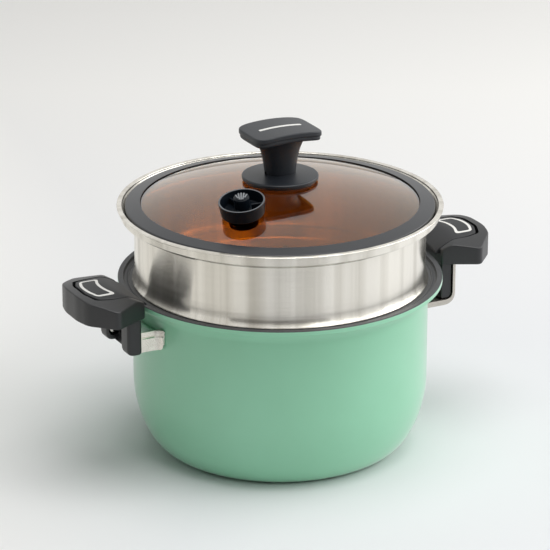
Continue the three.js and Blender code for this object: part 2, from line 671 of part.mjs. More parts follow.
// Strap of the right bracket, folded up behind the legs
const strapIn = legIn + STRAP_LEG_D + FIT;
const strapOut = strapIn + STRAP_T;
const strapZ = RIM_Z - STRAP_DROP;
const strapMid = LEG_NEAR + LEG_W / 2;
const strapScrewZ = RIM_Z - STRAP_SCREW_DROP;
const rightHandle = cut(join(gripBlock, ...pair(legSide(STRAP_LEG_D, STRAP_LEG_ROUND, gripZ - STRAP_LEG_L))),
  ...pair(barX(SCREW_R + FIT, strapIn - SCREW_L - FIT * 2, strapIn, strapMid, strapScrewZ)));
const strapScrews = pair(toGeometry(join(
  barX(SCREW_R, strapIn - FIT - SCREW_L, strapOut + FIT + EDGE, strapMid, strapScrewZ),
  barX(SCREW_HEAD_R, strapOut + FIT, strapOut + FIT + SCREW_HEAD_T, strapMid, strapScrewZ))));

// Tongue and its guide screw
const guideTop = channelZ + SLIDE + GUIDE_L;
const tongue = cut(
  common(raised(tongueOutline(0, 0, lipR + TIP_GAP), channelZ + SLIDE, gripTop + LIP_W), crowned(channelZ)),
  drill(GUIDE_R + FIT, channelZ, guideTop + FIT).translate(guideU, 0, 0));
const headTopZ = gripZ - FIT;
const tongueScrew = turned([
  [0, headTopZ - GUIDE_HEAD_T],
  [GUIDE_HEAD_R, headTopZ - GUIDE_HEAD_T],
  [GUIDE_HEAD_R, headTopZ],
  [GUIDE_R, headTopZ],
  [GUIDE_R, guideTop],
  [0, guideTop],
], SMALL_TURNS).translate(guideU, 0, 0);

// Brackets, each on a plate curved to the pot wall
const wallIn = BODY_R + FIT;
const wallOut = wallIn + STRAP_T;
const plateRoot = (s) => Math.sqrt(wallOut ** 2 - s ** 2) - STRAP_T / 2;
function wallPlate(from, to, low, high) {
  const [start, end] = [from, to].map((s) => THREE.MathUtils.radToDeg(Math.asin(s / wallOut)));
  return raised([...arc(0, 0, wallIn, end, start, 8), ...arc(0, 0, wallOut, start, end, 8)], low, high);
}
const potRoom = turned([[0, 0], [wallIn, 0], [wallIn, RIM_Z], [0, RIM_Z]], TURNS * 2);
const plateHoles = rivetTurns.map((turn) =>
  barX(RIVET_R + FIT, BODY_R - WALL, wallOut + STRAP_T, 0, rivetZ).rotateZ(turn));
const stay = across(
  rect(plateRoot(stayFar), stayOut, stayZ, stayZ + STAY_H), stayFar - STRAP_T, stayFar);
const flange = wallPlate(stayFar - STRAP_T, stayFar + STAY_FLANGE, stayZ, stayZ + STAY_H);
const stayPlate = wallPlate(-stayFar, stayFar, stayZ, stayZ + STAY_PLATE_H);
const leftBracket = cut(join(stayPlate, ...pair(stay), ...pair(flange)), potRoom, ...plateHoles,
  ...pair(barY(SCREW_R + FIT, LEG_NEAR, stayFar + EDGE, stayScrewU, stayScrewZ)));
const bendU = strapOut - STRAP_BEND;
const bendZ = strapZ + STRAP_BEND;
const strap = across([
  [plateRoot(STRAP_S), strapZ],
  ...arc(bendU, bendZ, STRAP_BEND, 270, 360, 6),
  [strapOut, gripZ - FIT],
  [strapIn, gripZ - FIT],
  ...arc(bendU, bendZ, STRAP_BEND - STRAP_T, 360, 270, 6),
  [plateRoot(STRAP_S), strapZ + STRAP_T],
], -STRAP_S, STRAP_S);
const rightBracket = cut(join(wallPlate(-STRAP_S, STRAP_S, strapZ, strapZ + STRAP_PLATE_H), strap), potRoom, ...plateHoles,
  ...pair(barX(SCREW_R + FIT, strapIn - EDGE, strapOut + EDGE, strapMid, strapScrewZ)));
const rivets = rivetTurns.map((turn) => toGeometry(join(
  barX(RIVET_R, boreR - FIT * 2 - EDGE, wallOut + FIT + EDGE, 0, rivetZ),
  barX(RIVET_HEAD_R, boreR - FIT * 2 - RIVET_HEAD_T, boreR - FIT * 2, 0, rivetZ),
  barX(RIVET_HEAD_R, wallOut + FIT, wallOut + FIT + RIVET_HEAD_T, 0, rivetZ))).rotateZ(turn));

const sides = [
  ['left', Math.PI, leftBracket, leftHandle, stayScrews],
  ['right', 0, rightBracket, rightHandle, strapScrews],
];
for (const [side, turn, bracket, handle, screws] of sides) {
  const place = (geometry) => geometry.rotateZ(turn);
  add(`${side}_bracket`, bracket, 'steel', place);
  add(`${side}_rivet_1`, rivets[0].clone(), 'steel', place);
  add(`${side}_rivet_2`, rivets[1].clone(), 'steel', place);
  add(`${side}_handle`, handle, 'plastic', place);
  add(`${side}_screw_1`, screws[0], 'steel', place);
  add(`${side}_screw_2`, screws[1], 'steel', place);
  add(`${side}_tongue`, tongue, 'tongue', place);
  add(`${side}_guide_screw`, tongueScrew.clone(), 'steel', place);
}

export default part;
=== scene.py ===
import math

import bmesh
import bpy
from mathutils import Matrix, Vector, geometry


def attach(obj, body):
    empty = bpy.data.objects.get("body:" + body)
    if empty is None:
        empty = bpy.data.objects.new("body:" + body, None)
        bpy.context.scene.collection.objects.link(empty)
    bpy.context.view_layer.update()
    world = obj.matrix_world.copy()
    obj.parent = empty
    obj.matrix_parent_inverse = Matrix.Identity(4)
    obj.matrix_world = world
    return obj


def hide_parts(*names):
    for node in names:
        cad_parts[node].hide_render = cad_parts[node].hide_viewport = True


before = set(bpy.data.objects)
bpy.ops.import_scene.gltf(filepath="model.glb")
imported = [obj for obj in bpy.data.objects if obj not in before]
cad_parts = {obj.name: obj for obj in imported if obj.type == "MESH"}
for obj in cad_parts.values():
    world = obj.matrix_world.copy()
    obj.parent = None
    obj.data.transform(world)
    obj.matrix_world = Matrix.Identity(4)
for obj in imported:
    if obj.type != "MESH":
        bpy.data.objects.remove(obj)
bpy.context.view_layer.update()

bl_info = {
    "name": "Stovetop steam cooker",
    "version": (1, 0, 0),
    "blender": (4, 5, 0),
    "location": "View3D > Sidebar > Cooker",
    "description": "Mint-green pot with a steel steamer, a glass lid and two handles",
    "category": "Add Mesh",
}

MM = 0.001
ROUND = 160  # steps round a large turned piece
SMALL = 64  # steps round a small turned piece
NEAR = 1e-6  # distance within which two points are one
TRACE = 0.1 * MM  # tolerance for telling points apart by where they lie
GAP = 0.3 * MM  # clearance between pieces that meet
SHEET_EDGE = 0.35 * MM  # rounding of the edges of bent sheet
KNOB_RINGS = [0.12 * MM, 0.22 * MM, 0.3 * MM, 0.4 * MM, 0.4 * MM]  # steps across a rounded knob edge
HALF_SIDE = 0.49  # largest share of a side that one rounded corner takes
FULLNESS = 1.8  # exponent of the lower corner of the pot, where 2 is an ellipse
SQUARENESS = 0.33  # exponent of the plan of the knob plate, where 1 is an ellipse
VALVE_WAY = math.radians(219.6)  # direction of the valve from the lid axis
RIB_TURN = math.radians(23.4)  # turn of the ribs on the hub of the valve
SCREW_DOME = 0.8  # angle from the top of a domed screw head to its edge
NOISE_SPAN = (0.3, 0.7)  # values between which a noise mostly lies
UPRIGHT = Matrix(((1, 0, 0, 0), (0, 0, 1, 0), (0, 1, 0, 0), (0, 0, 0, 1)))  # stands an outline on edge


# Sizes and colours

def size(label, text, mm):
    """A length property, given in millimetres."""
    return bpy.props.FloatProperty(name=label, description=text, default=mm * MM, unit="LENGTH", precision=5)


def tint(label, text, code):
    """A colour property, given as it looks on a screen."""
    parts = [(code >> shift & 255) / 255 for shift in (16, 8, 0)]
    linear = [c / 12.92 if c <= 0.04045 else ((c + 0.055) / 1.055) ** 2.4 for c in parts]
    return bpy.props.FloatVectorProperty(
        name=label, description=text, default=linear, subtype="COLOR", min=0.0, max=1.0)


class PotSizes(bpy.types.PropertyGroup):
    """Sizes of the cast pot"""
    wall_radius: size("Wall radius", "Outside radius of the straight wall", 119)
    wall: size("Wall", "Thickness of the wall", 3.6)
    corner: size("Corner", "Width of the rounded lower corner", 27)
    corner_top: size("Corner top", "Height where the rounded corner ends", 57)
    foot: size("Foot", "Height of the cast foot", 1)
    floor: size("Floor", "Height of the inside floor", 6.5)
    rim: size("Rim", "Height of the rim", 143.2)
    lip: size("Lip", "Overhang of the lip", 11.5)
    lip_edge: size("Lip edge", "Height of the outer edge of the lip", 3.7)
    lip_top: size("Lip top", "Width of the flat top of the lip", 4.6)
    ledge: size("Ledge", "Width of the ledge inside the lip", 8)
    ledge_drop: size("Ledge drop", "Depth of the ledge below the rim", 2.8)
    ridge_in: size("Ridge", "Distance of the ridge on the ledge from its outside", 3.2)
    throat: size("Throat", "Height of the taper under the ledge", 4)
    plate_radius: size("Plate radius", "Radius of the induction plate", 84)
    plate: size("Plate", "Thickness of the induction plate", 3)


class SteamerSizes(bpy.types.PropertyGroup):
    """Sizes of the steel steamer"""
    sheet: size("Sheet", "Thickness of the steel sheet", 1.2)
    foot: size("Foot", "Height of the foot", 140.7)
    foot_radius: size("Foot radius", "Radius of the flared foot", 119.2)
    flare: size("Flare", "Height of the flare", 8)
    wall_radius: size("Wall radius", "Outside radius of the wall", 116.7)
    cone: size("Cone", "Height where the conical shoulder starts", 190.5)
    collar_radius: size("Collar radius", "Radius of the collar under the bead", 127.6)
    collar_low: size("Collar low", "Height of the lower edge of the collar", 195.4)
    bead_low: size("Bead underside", "Height of the underside of the bead", 201.7)
    bead_top: size("Bead top", "Height of the top of the bead", 203.3)
    bead_radius: size("Bead radius", "Outside radius of the bead", 130.3)
    bead_width: size("Bead width", "Width of the bead", 4.1)
    skirt_radius: size("Skirt radius", "Radius of the skirt inside the pot", 114.2)
    pierced: size("Pierced floor", "Height of the underside of the pierced floor", 131.7)
    hole: size("Hole", "Radius of a steam hole", 2.5)
    hole_step: size("Hole step", "Spacing of the rings of steam holes", 30)


class LidSizes(bpy.types.PropertyGroup):
    """Sizes of the glass lid and its ring"""
    crown: size("Crown", "Height of the top of the glass", 223.27)
    dome: size("Dome", "Outside radius of the dome", 333)
    glass: size("Glass", "Thickness of the glass", 4)
    glass_radius: size("Glass radius", "Radius of the edge of the glass", 117.5)
    ring_in: size("Ring inside", "Inside radius of the silicone ring", 111.5)
    ring_out: size("Ring outside", "Outside radius of the silicone ring", 123.7)
    ring_low: size("Ring underside", "Height of the underside of the ring", 194.8)
    ring_edge_low: size("Ring edge low", "Lowest height of the outer face", 199.9)
    ring_edge_top: size("Ring edge top", "Highest height of the outer face", 202.8)


class KnobSizes(bpy.types.PropertyGroup):
    """Sizes of the knob"""
    disc_low: size("Disc underside", "Height of the underside of the disc", 224.67)
    disc_radius: size("Disc radius", "Radius of the disc", 30.6)
    disc: size("Disc", "Thickness of the disc at its edge", 2.6)
    disc_skirt: size("Disc skirt", "How far the edge of the disc reaches down to the glass", 0.9)
    disc_rise: size("Disc rise", "Rise of the disc to the stem", 1)
    stem_long: size("Stem length", "Half width of the foot of the stem along the handles", 12.9)
    stem_wide: size("Stem width", "Half width of the foot of the stem across", 10.0)
    stem_lean: bpy.props.FloatProperty(
        name="Stem lean", description="Even widening of the stem from foot to top, as a share", default=0.32)
    stem_flare: bpy.props.FloatProperty(
        name="Stem flare", description="Further widening towards the plate, as a share", default=0.38)
    half_long: size("Half length", "Half length of the plate", 29)
    half_wide: size("Half width", "Half width of the plate", 22.5)
    arch: size("Arch", "Drop of the plate from its middle to its ends", 2.6)
    cap_top: size("Cap top", "Height of the top of the cap", 266.27)
    cap: size("Cap", "Thickness of the cap", 4)
    seam: size("Seam", "Gap between the cap and the plate under it", 0.3)
    under: size("Under plate", "Thickness of the plate under the cap", 3.4)
    under_inset: size("Under inset", "How far the under plate is set in", 0.8)
    bar_long: size("Bar length", "Length of the white bar", 37)
    bar_wide: size("Bar width", "Width of the white bar", 3.2)


class ValveSizes(bpy.types.PropertyGroup):
    """Sizes of the steam valve"""
    out: size("Distance", "Distance of the valve from the lid axis", 72.4)
    cup_radius: size("Cup radius", "Radius of the rim of the cup", 18.3)
    cup_taper: size("Cup taper", "How much narrower the foot of the cup is", 1.3)
    cup_low: size("Cup underside", "Height of the cup above the glass", 1.8)
    cup: size("Cup", "Height of the cup", 11.5)
    cup_wall: size("Cup wall", "Thickness of the cup wall", 1.5)
    cup_floor: size("Cup floor", "Thickness of the cup floor", 2.2)
    boss_radius: size("Boss radius", "Radius of the boss in the cup", 5.2)
    boss: size("Boss", "Height of the boss", 3)
    stem_radius: size("Stem radius", "Radius of the stem through the glass", 5.5)
    bore: size("Bore", "Radius of the steam bore", 2.6)
    hub_radius: size("Hub radius", "Radius of the hub", 6.2)
    hub: size("Hub", "Height of the hub", 10.1)
    rib_step: size("Rib step", "Spacing of the ribs on the hub", 2.2)
    nut_radius: size("Nut radius", "Radius of the nut under the glass", 11.5)
    nut: size("Nut", "Thickness of the nut", 5)


class HandleSizes(bpy.types.PropertyGroup):
    """Sizes of the handles and their lock tongues"""
    start: size("Start", "Distance of the inner end from the pot axis", 132.8)
    grip_length: size("Grip length", "Length of the grip", 50.2)
    crown: size("Crown", "Height of the top of the grip", 158.5)
    grip: size("Grip", "Thickness of the grip", 21.4)
    crown_radius: size("Crown radius", "Radius of the crowned top", 134)
    slope: size("Slope", "Length of the fall towards the pot", 21)
    slope_drop: size("Slope drop", "Height of that fall", 8.6)
    edge: size("Edge", "Rounding of the upper edge", 1.1)
    floor: size("Channel floor", "Height of the floor of the tongue channel", 145.6)
    play: size("Play", "Clearance round the tongue", 0.5)
    reveal: size("Reveal", "Open groove beyond the tongue", 2)
    leg_near: size("Leg near side", "Distance of a leg from the middle", 13)
    leg_wide: size("Leg width", "Width of a leg", 14)
    leg_low: size("Left leg foot", "Height of the foot of a left leg", 105.7)
    leg_low_right: size("Right leg foot", "Height of the foot of a right leg", 106.2)
    leg_set: size("Leg set", "How far the legs are set back", 1.7)
    leg_left: size("Left leg depth", "Depth of the left legs", 12.3)
    leg_right: size("Right leg depth", "Depth of the right legs", 9.5)
    frame_near: size("Frame near", "Inner end of the white outline", 152.0)
    frame_far: size("Frame far", "Outer end of the white outline", 167.9)
    frame_half: size("Frame half width", "Half width of the white outline", 18)
    frame_line: size("Frame line", "Width of the white line", 2.4)
    frame_bow: size("Frame bow", "Radius of the curved long sides of the outline", 38)
    root_half: size("Root half width", "Half width of the inner end of the grip", 29.5)
    wide_at: size("Widest place", "Distance of the widest place from the inner end", 29)
    wide_half: size("Widest half width", "Half width of the grip at its widest place", 44)
    corner_at: size("Corner place", "Distance of the outer corners from the inner end", 47.2)
    corner_half: size("Corner half width", "Half width of the grip at its outer corners", 24.8)
    end_half: size("End half width", "Half width of the outer end of grip and tongue", 10.5)
    tongue_half: size("Tongue half width", "Half width of the tongue with its edge groove", 25.4)
    tongue_bend: size("Tongue bend", "Distance where the tongue starts to narrow", 24.5)
    tongue_corner: size("Tongue corner", "Distance of the outer corners of the tongue", 36.7)
    tongue_corner_half: size("Tongue corner half width", "Half width of the tongue at its corners", 22.5)
    tongue_end: size("Tongue end", "Distance of the outer end of the tongue", 41.7)
    slot_near: size("Slot near", "Distance of the inner end of the guide slot", 17.3)
    slot_far: size("Slot far", "Distance of the outer end of the guide slot", 30.7)
    slot_half: size("Slot half width", "Half width of the guide slot", 2.7)


class BracketSizes(bpy.types.PropertyGroup):
    """Sizes of the steel brackets"""
    wall_in: size("Wall side", "Inside radius of the plates on the pot wall", 119.3)
    sheet: size("Sheet", "Thickness of the sheet", 2.5)
    stay_far: size("Stay", "Outer side of a stay from the middle", 25.1)
    stay_low: size("Stay low", "Height of the lower edge of a stay", 107.0)
    stay_top: size("Stay top", "Height of the upper edge of a stay", 123.5)
    stay_out: size("Stay end", "Distance of the end of a stay", 145.2)
    flange: size("Flange", "Width of a stay flange on the wall", 3.6)
    stay_round: size("Stay round", "Rounding of the upper corner of a stay on the wall", 0.8)
    stay_crease: size("Stay crease", "Height of the crease along a stay", 118.7)
    stay_lean: size("Stay lean", "How far the upper edge leans in above the crease", 0.7)
    groove: size("Groove", "Depth and half width of the crease along a stay", 0.9)
    stay_foot_round: size("Stay foot round", "Rounding of the lower corner of a stay on the wall", 5)
    plate_low: size("Plate low", "Height of the lower edge of the plate between the stays", 108.7)
    screw: size("Screw", "Shank radius of a stay screw", 2)
    screw_in: size("Screw place", "Distance of a stay screw from the inner side of its leg", 6)
    screw_height: size("Screw height", "Height of a stay screw", 114.2)
    counterbore: size("Counterbore", "Radius of the counterbore for a stay screw", 4.7)
    counterbore_long: size("Counterbore length", "Twice the depth of that counterbore", 6.8)
    screw_head: size("Screw head", "Radius of the domed head of a stay screw", 3.7)
    screw_seat: size("Screw seat", "Distance of the head of a stay screw from the middle", 16.1)
    plate_top: size("Plate top", "Height of the upper edge of the plate between the stays", 120.3)
    strap_half: size("Strap half width", "Half width of the strap", 28.5)
    strap_low: size("Strap low", "Height of the underside of the strap", 100.9)
    strap_floor: size("Strap floor", "Thickness of the strap under the legs", 4.6)
    strap_plate: size("Strap plate", "Height of the wall plate of the strap", 18)
    strap_in: size("Strap inside", "Distance of the inner face of the upright", 144.3)
    strap_top: size("Strap top", "Height of the top of the upright", 136.8)
    strap_bend: size("Strap bend", "Outside radius of the bend", 11)


class CookerColours(bpy.types.PropertyGroup):
    """Colours of the finishes"""
    mint: tint("Mint", "Satin coat of the pot", 0x94D4B1)
    mint_deep: tint("Deep mint", "Slightly deeper patches of the coat", 0x8CCCA8)
    non_stick: tint("Non-stick", "Coat inside the pot and on the lip", 0x2E2F31)
    speck: tint("Speck", "Fine specks in the non-stick coat", 0x46484B)
    steel: tint("Steel", "Brushed stainless steel", 0xE9E5DC)
    # painted reflection: on the brushed steel this darker tone forms up-and-down streaks that stand in for
    # streaky reflections
    steel_painted_streak: tint("Steel lines", "Darker brushed lines", 0xC7C2B7)
    stay: tint("Stay", "Brushed steel of the left stays", 0xE2DED4)
    strap: tint("Strap", "Brushed steel of the right strap", 0xC2BDB4)
    screw: tint("Screw", "Plain steel of the screws", 0xC9C6C0)
    plate: tint("Plate", "Turned induction plate", 0x8D8B88)
    amber: tint("Amber", "Tint of the glass", 0xC8924A)
    silicone: tint("Silicone", "Lid ring and gaskets", 0x26282C)
    knob: tint("Knob", "Plastic of the knob", 0x1C2026)
    valve: tint("Valve", "Plastic of the valve", 0x0E151C)
    # painted highlight: this lighter grey on the flat top of the valve cup rim stands in for the light the
    # rim catches
    edge: tint("Valve rim painted highlight", "Grey of the rim of the valve cup", 0x63676B)
    # painted highlight: this light grey on the raised ribs of the hub stands in for the light they catch
    rib: tint("Valve ribs painted highlight", "Grey of the ribs on the hub of the valve", 0x8C9094)
    handle: tint("Handle", "Plastic of the handles", 0x1C1D1F)
    tongue: tint("Tongue", "Plastic of the lock tongues", 0x222325)
    white: tint("White", "Printed lines", 0xE9E8E4)
    floor: tint("Floor", "Pale floor", 0xE4E5E7)
    card: tint("Card", "Card behind the camera", 0x5A5751)
    # this pale tone also paints light onto the left of the floor, where the lamps leave shade
    wall: tint("Wall", "Far part of the floor", 0xFBFAF7)


GROUPS = {
    "cooker_pot": PotSizes, "cooker_steamer": SteamerSizes, "cooker_lid": LidSizes, "cooker_knob": KnobSizes,
    "cooker_valve": ValveSizes, "cooker_handle": HandleSizes, "cooker_bracket": BracketSizes,
    "cooker_colours": CookerColours,
}


# Shapes

def curve_point(a, b, c, t):
    """Point of the curve that leaves a towards b and comes to c."""
    return tuple(a * (1 - t) ** 2 + b * 2 * t * (1 - t) + c * t ** 2)


def rounded(points, steps=5):
    """Outline with the corners that name a radius as a third value rounded off."""
    line = []
    count = len(points)
    for i, point in enumerate(points):
        here = Vector(point[:2])
        if len(point) < 3:
            line.append(tuple(here))
            continue
        back, on = [Vector(points[(i + k) % count][:2]) - here for k in (-1, 1)]
        reach = min(point[2], back.length * HALF_SIDE, on.length * HALF_SIDE)
        first, last = [here + way.normalized() * reach for way in (back, on)]
        line += [curve_point(first, here, last, k / steps) for k in range(steps + 1)]
    return line


def mirrored(points):
    """Half an outline, completed by its mirror image across the X axis."""
    return points + [(p[0], -p[1], *p[2:]) for p in reversed(points)]


def spun(bm, line, steps=ROUND, finish=0, closed=False):
    """Bmesh with a line of radius and height turned round the Z axis added to it."""
    known = set(bm.faces)
    verts = [bm.verts.new((r, 0, z)) for r, z in line]
    pairs = list(zip(verts, verts[1:])) + ([(verts[-1], verts[0])] if closed else [])
    edges = [bm.edges.new(pair) for pair in pairs]
    bmesh.ops.spin(
        bm, geom=verts + edges, cent=(0, 0, 0), axis=(0, 0, 1), angle=2 * math.pi, steps=steps,
        use_merge=True)
    bmesh.ops.remove_doubles(bm, verts=bm.verts, dist=NEAR)
    bmesh.ops.dissolve_degenerate(bm, edges=bm.edges, dist=NEAR / 10)
    for face in bm.faces:
        if face not in known:
            face.material_index = finish
    return bm


def sector(bm, radius, thick, low, high, start, end, steps=14):
    """Adds a curved plate on a wall of a radius, between two offsets across the handle."""
    a, b = [math.asin(s / (radius + thick)) for s in (start, end)]
    corners = [(radius, low), (radius + thick, low), (radius + thick, high), (radius, high)]
    verts = [bm.verts.new((r * math.cos(a), r * math.sin(a), z)) for r, z in corners]
    face = bm.faces.new(verts)
    bmesh.ops.spin(
        bm, geom=[face, *face.edges, *verts], cent=(0, 0, 0), axis=(0, 0, 1), angle=b - a, steps=steps)


def extruded(bm, faces, keep=True):
    """New points of faces that are extruded in place, with or without the old faces kept."""
    made = bmesh.ops.extrude_face_region(bm, geom=faces, use_keep_orig=keep)["geom"]
    return {g for g in made if isinstance(g, bmesh.types.BMVert)}


def prism(bm, outline, low, high, turn=None):
    """Points of an outline raised from one height to another, then turned by a matrix."""
    known = set(bm.verts)
    face = bm.faces.new([bm.verts.new((a, b, low)) for a, b in outline])
    bmesh.ops.translate(bm, verts=list(extruded(bm, [face])), vec=(0, 0, high - low))
    made = [v for v in bm.verts if v not in known]
    if turn is not None:
        bmesh.ops.transform(bm, matrix=turn, verts=made)
    bmesh.ops.recalc_face_normals(bm, faces=bm.faces)
    return made


def cylinder(bm, radius, length, steps, place_at):
    """Adds a capped cylinder round the Z axis of a matrix."""
    bmesh.ops.create_cone(
        bm, cap_ends=True, segments=steps, radius1=radius, radius2=radius, depth=length, matrix=place_at)


def bevelled(bm, edges, width, segments):
    """Rounds off some edges."""
    bmesh.ops.bevel(
        bm, geom=edges, offset=width, offset_type="OFFSET", segments=segments, profile=0.5,
        affect="EDGES", clamp_overlap=True, material=-1)


def softened(bm, width, angle=30, segments=3, verts=None):
    """Rounds off the edges that are sharper than an angle."""
    bm.normal_update()
    inside = set(verts) if verts else None
    edges = [e for e in bm.edges if len(e.link_faces) == 2 and e.calc_face_angle(0) > math.radians(angle)
             and (inside is None or all(v in inside for v in e.verts))]
    bevelled(bm, edges, width, segments)


def sliced(bm, cuts):
    """Cuts a bmesh along planes, each given by a point and a normal."""
    for point, normal in cuts:
        bmesh.ops.bisect_plane(
            bm, geom=[*bm.verts, *bm.edges, *bm.faces], plane_co=point,
            plane_no=Vector(normal).normalized(), dist=NEAR)


def cross_cuts(values, axis):
    """Straight cuts at the given places along X or Y."""
    normal = (1, 0, 0) if axis == "X" else (0, 1, 0)
    return [((v, 0, 0) if axis == "X" else (0, v, 0), normal) for v in values]


def spread(start, end, count):
    """Evenly spaced values inside a span."""
    return [start + (end - start) * (i + 1) / (count + 1) for i in range(count)]


def plan_mesh(outline, rings, cuts, height=0):
    """New bmesh of a flat outline with inset rings, cut along planes."""
    bm = bmesh.new()
    face = bm.faces.new([bm.verts.new((u, s, height)) for u, s in outline])
    for ring in rings:
        bmesh.ops.inset_region(bm, faces=[face], thickness=ring, use_even_offset=True, use_boundary=True)
    sliced(bm, cuts)
    return bm


def slab(outline, rings, cuts, low, top):
    """New bmesh of a cut plan outline, raised between two height functions."""
    bm = plan_mesh(outline, rings, cuts)
    over = list(bm.verts)
    under = extruded(bm, list(bm.faces))
    for points, height in ((over, top), (under, low)):
        for v in points:
            v.co.z = height(v.co.x, v.co.y)
    return bm


def edge_drop(outline, radius):
    """Fall of a surface that rounds over to an outline."""
    corners = [Vector((*p, 0)) for p in outline]
    sides = list(zip(corners, corners[1:] + corners[:1]))

    def drop(u, s):
        here = Vector((u, s, 0))
        near = radius
        for a, b in sides:
            on, share = geometry.intersect_point_line(here, a, b)
            on = a if share < 0 else b if share > 1 else on
            near = min(near, (here - on).length)
        return radius - math.sqrt(max(radius ** 2 - (radius - near) ** 2, 0))
    return drop


def joined(bm, other):
    """Adds the shape of another bmesh, which is used up."""
    mesh = bpy.data.meshes.new("joined")
    other.to_mesh(mesh)
    other.free()
    bm.from_mesh(mesh)
    bpy.data.meshes.remove(mesh)


def mesh_object(name, bm):
    """Object of a finished bmesh, at the origin."""
    mesh = bpy.data.meshes.new(name)
    bm.to_mesh(mesh)
    bm.free()
    piece = bpy.data.objects.new(name, mesh)
    bpy.context.scene.collection.objects.link(piece)
    return piece


def carved(name, bm, cutter):
    """Bmesh with the shapes of another one cut out of it."""
    piece, tool = mesh_object(name, bm), mesh_object(name + "_tool", cutter)
    cut = piece.modifiers.new("Cut", "BOOLEAN")
    cut.object, cut.operation, cut.solver = tool, "DIFFERENCE", "EXACT"
    bpy.context.view_layer.update()
    shaped = piece.evaluated_get(bpy.context.evaluated_depsgraph_get()).to_mesh()
    result = bmesh.new()
    result.from_mesh(shaped)
    for old in (piece, tool):
        mesh = old.data
        bpy.data.objects.remove(old)
        bpy.data.meshes.remove(mesh)
    return result


def place(name, bm, body, nodes, looks, sharp=40):
    """Finished piece: closed, smooth, riding on its body and standing for its nodes."""
    bmesh.ops.remove_doubles(bm, verts=bm.verts, dist=NEAR)
    bmesh.ops.recalc_face_normals(bm, faces=bm.faces)
    piece = mesh_object(name, bm)
    for look in looks:
        piece.data.materials.append(bpy.data.materials[look])
    piece.data.shade_smooth()
    piece.data.set_sharp_from_angle(angle=math.radians(sharp))
    even = piece.modifiers.new("Even shading", "WEIGHTED_NORMAL")
    even.keep_sharp = True
    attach(piece, body)
    if nodes:
        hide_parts(*nodes)


# Finishes

def group(name, sockets_in, sockets_out):
    """Empty shader node group with named value or vector sockets."""
    tree = bpy.data.node_groups.new(name, "ShaderNodeTree")
    for label, kind, default in sockets_in:
        socket = tree.interface.new_socket(label, in_out="INPUT", socket_type=kind)
        if default is not None:
            socket.default_value = default
    for label, kind in sockets_out:
        tree.interface.new_socket(label, in_out="OUTPUT", socket_type=kind)
    return tree, tree.nodes.new("NodeGroupInput"), tree.nodes.new("NodeGroupOutput")


def set_inputs(made, **values):
    """Sets inputs of a node by their labels, with underscores for spaces."""
    for label, value in values.items():
        made.inputs[label.replace("_", " ")].default_value = value


def feed(tree, value, socket):
    """Sets a socket to a number, or links it to another socket."""
    if isinstance(value, (int, float)):
        socket.default_value = value
    else:
        tree.links.new(value, socket)


def math_node(tree, operation, a, b=None):
    """Result of a sum on one or two numbers or sockets."""
    made = tree.nodes.new("ShaderNodeMath")
    made.operation = operation
    feed(tree, a, made.inputs[0])
    if b is not None:
        feed(tree, b, made.inputs[1])
    return made.outputs[0]


def noise(tree, vector, scale, detail):
    """Value of a noise on a vector, at a scale that is a number or a socket."""
    made = tree.nodes.new("ShaderNodeTexNoise")
    set_inputs(made, Detail=detail)
    tree.links.new(vector, made.inputs["Vector"])
    feed(tree, scale, made.inputs["Scale"])
    return made.outputs["Fac"]


def grain_group():
    """Fine grain and broad patches of a moulded, cast or coated surface."""
    tree, start, end = group(
        "Surface grain",
        [("Vector", "NodeSocketVector", None), ("Grain scale", "NodeSocketFloat", 2500.0),
         ("Patch scale", "NodeSocketFloat", 14.0)],
        [("Grain", "NodeSocketFloat"), ("Patch", "NodeSocketFloat")])
    vector, grain, patch = start.outputs[:3]
    tree.links.new(noise(tree, vector, grain, 3.0), end.inputs[0])
    tree.links.new(noise(tree, vector, patch, 4.0), end.inputs[1])


def brushed_group():
    """Fine lines that run round the Z axis, as turning and polishing leave them, and up-and-down streaks
    that are painted reflection streaks where a finish takes its colour from them.
    """
    tree, start, end = group(
        "Turned lines",
        [("Vector", "NodeSocketVector", None), ("Line scale", "NodeSocketFloat", 900.0),
         ("Length", "NodeSocketFloat", 6.0)],
        [("Lines", "NodeSocketFloat"), ("Bands", "NodeSocketFloat"), ("Streaks", "NodeSocketFloat")])
    vector, scale, run = start.outputs[:3]
    split = tree.nodes.new("ShaderNodeSeparateXYZ")
    tree.links.new(vector, split.inputs[0])
    x, y, z = split.outputs
    squares = [math_node(tree, "MULTIPLY", side, side) for side in (x, y)]
    radius = math_node(tree, "SQRT", math_node(tree, "ADD", *squares))
    angle = math_node(tree, "ARCTAN2", y, x)
    cosine, sine = [math_node(tree, kind, angle) for kind in ("COSINE", "SINE")]
    rise = math_node(tree, "MULTIPLY", z, scale)
    swing = math_node(tree, "MULTIPLY", sine, run)
    flat = tree.nodes.new("ShaderNodeCombineXYZ")
    tree.links.new(math_node(tree, "MULTIPLY", radius, scale), flat.inputs[0])
    tree.links.new(math_node(tree, "MULTIPLY", cosine, run), flat.inputs[1])
    tree.links.new(math_node(tree, "ADD", rise, swing), flat.inputs[2])
    around = tree.nodes.new("ShaderNodeCombineXYZ")
    tree.links.new(cosine, around.inputs[0])
    tree.links.new(sine, around.inputs[1])
    tree.links.new(noise(tree, flat.outputs[0], 1.0, 3.0), end.inputs[0])
    tree.links.new(noise(tree, flat.outputs[0], 0.12, 2.0), end.inputs[1])
    # noise that changes only round the axis: up-and-down painted reflection streaks where it sets a colour
    tree.links.new(noise(tree, around.outputs[0], 9.0, 5.0), end.inputs[2])


def start_finish(name):
    """New material with its node tree, shader and Object coordinates."""
    material = bpy.data.materials.new(name)
    material.use_nodes = True
    tree = material.node_tree
    shader = tree.nodes["Principled BSDF"]
    return material, tree, shader, tree.nodes.new("ShaderNodeTexCoord").outputs["Object"]


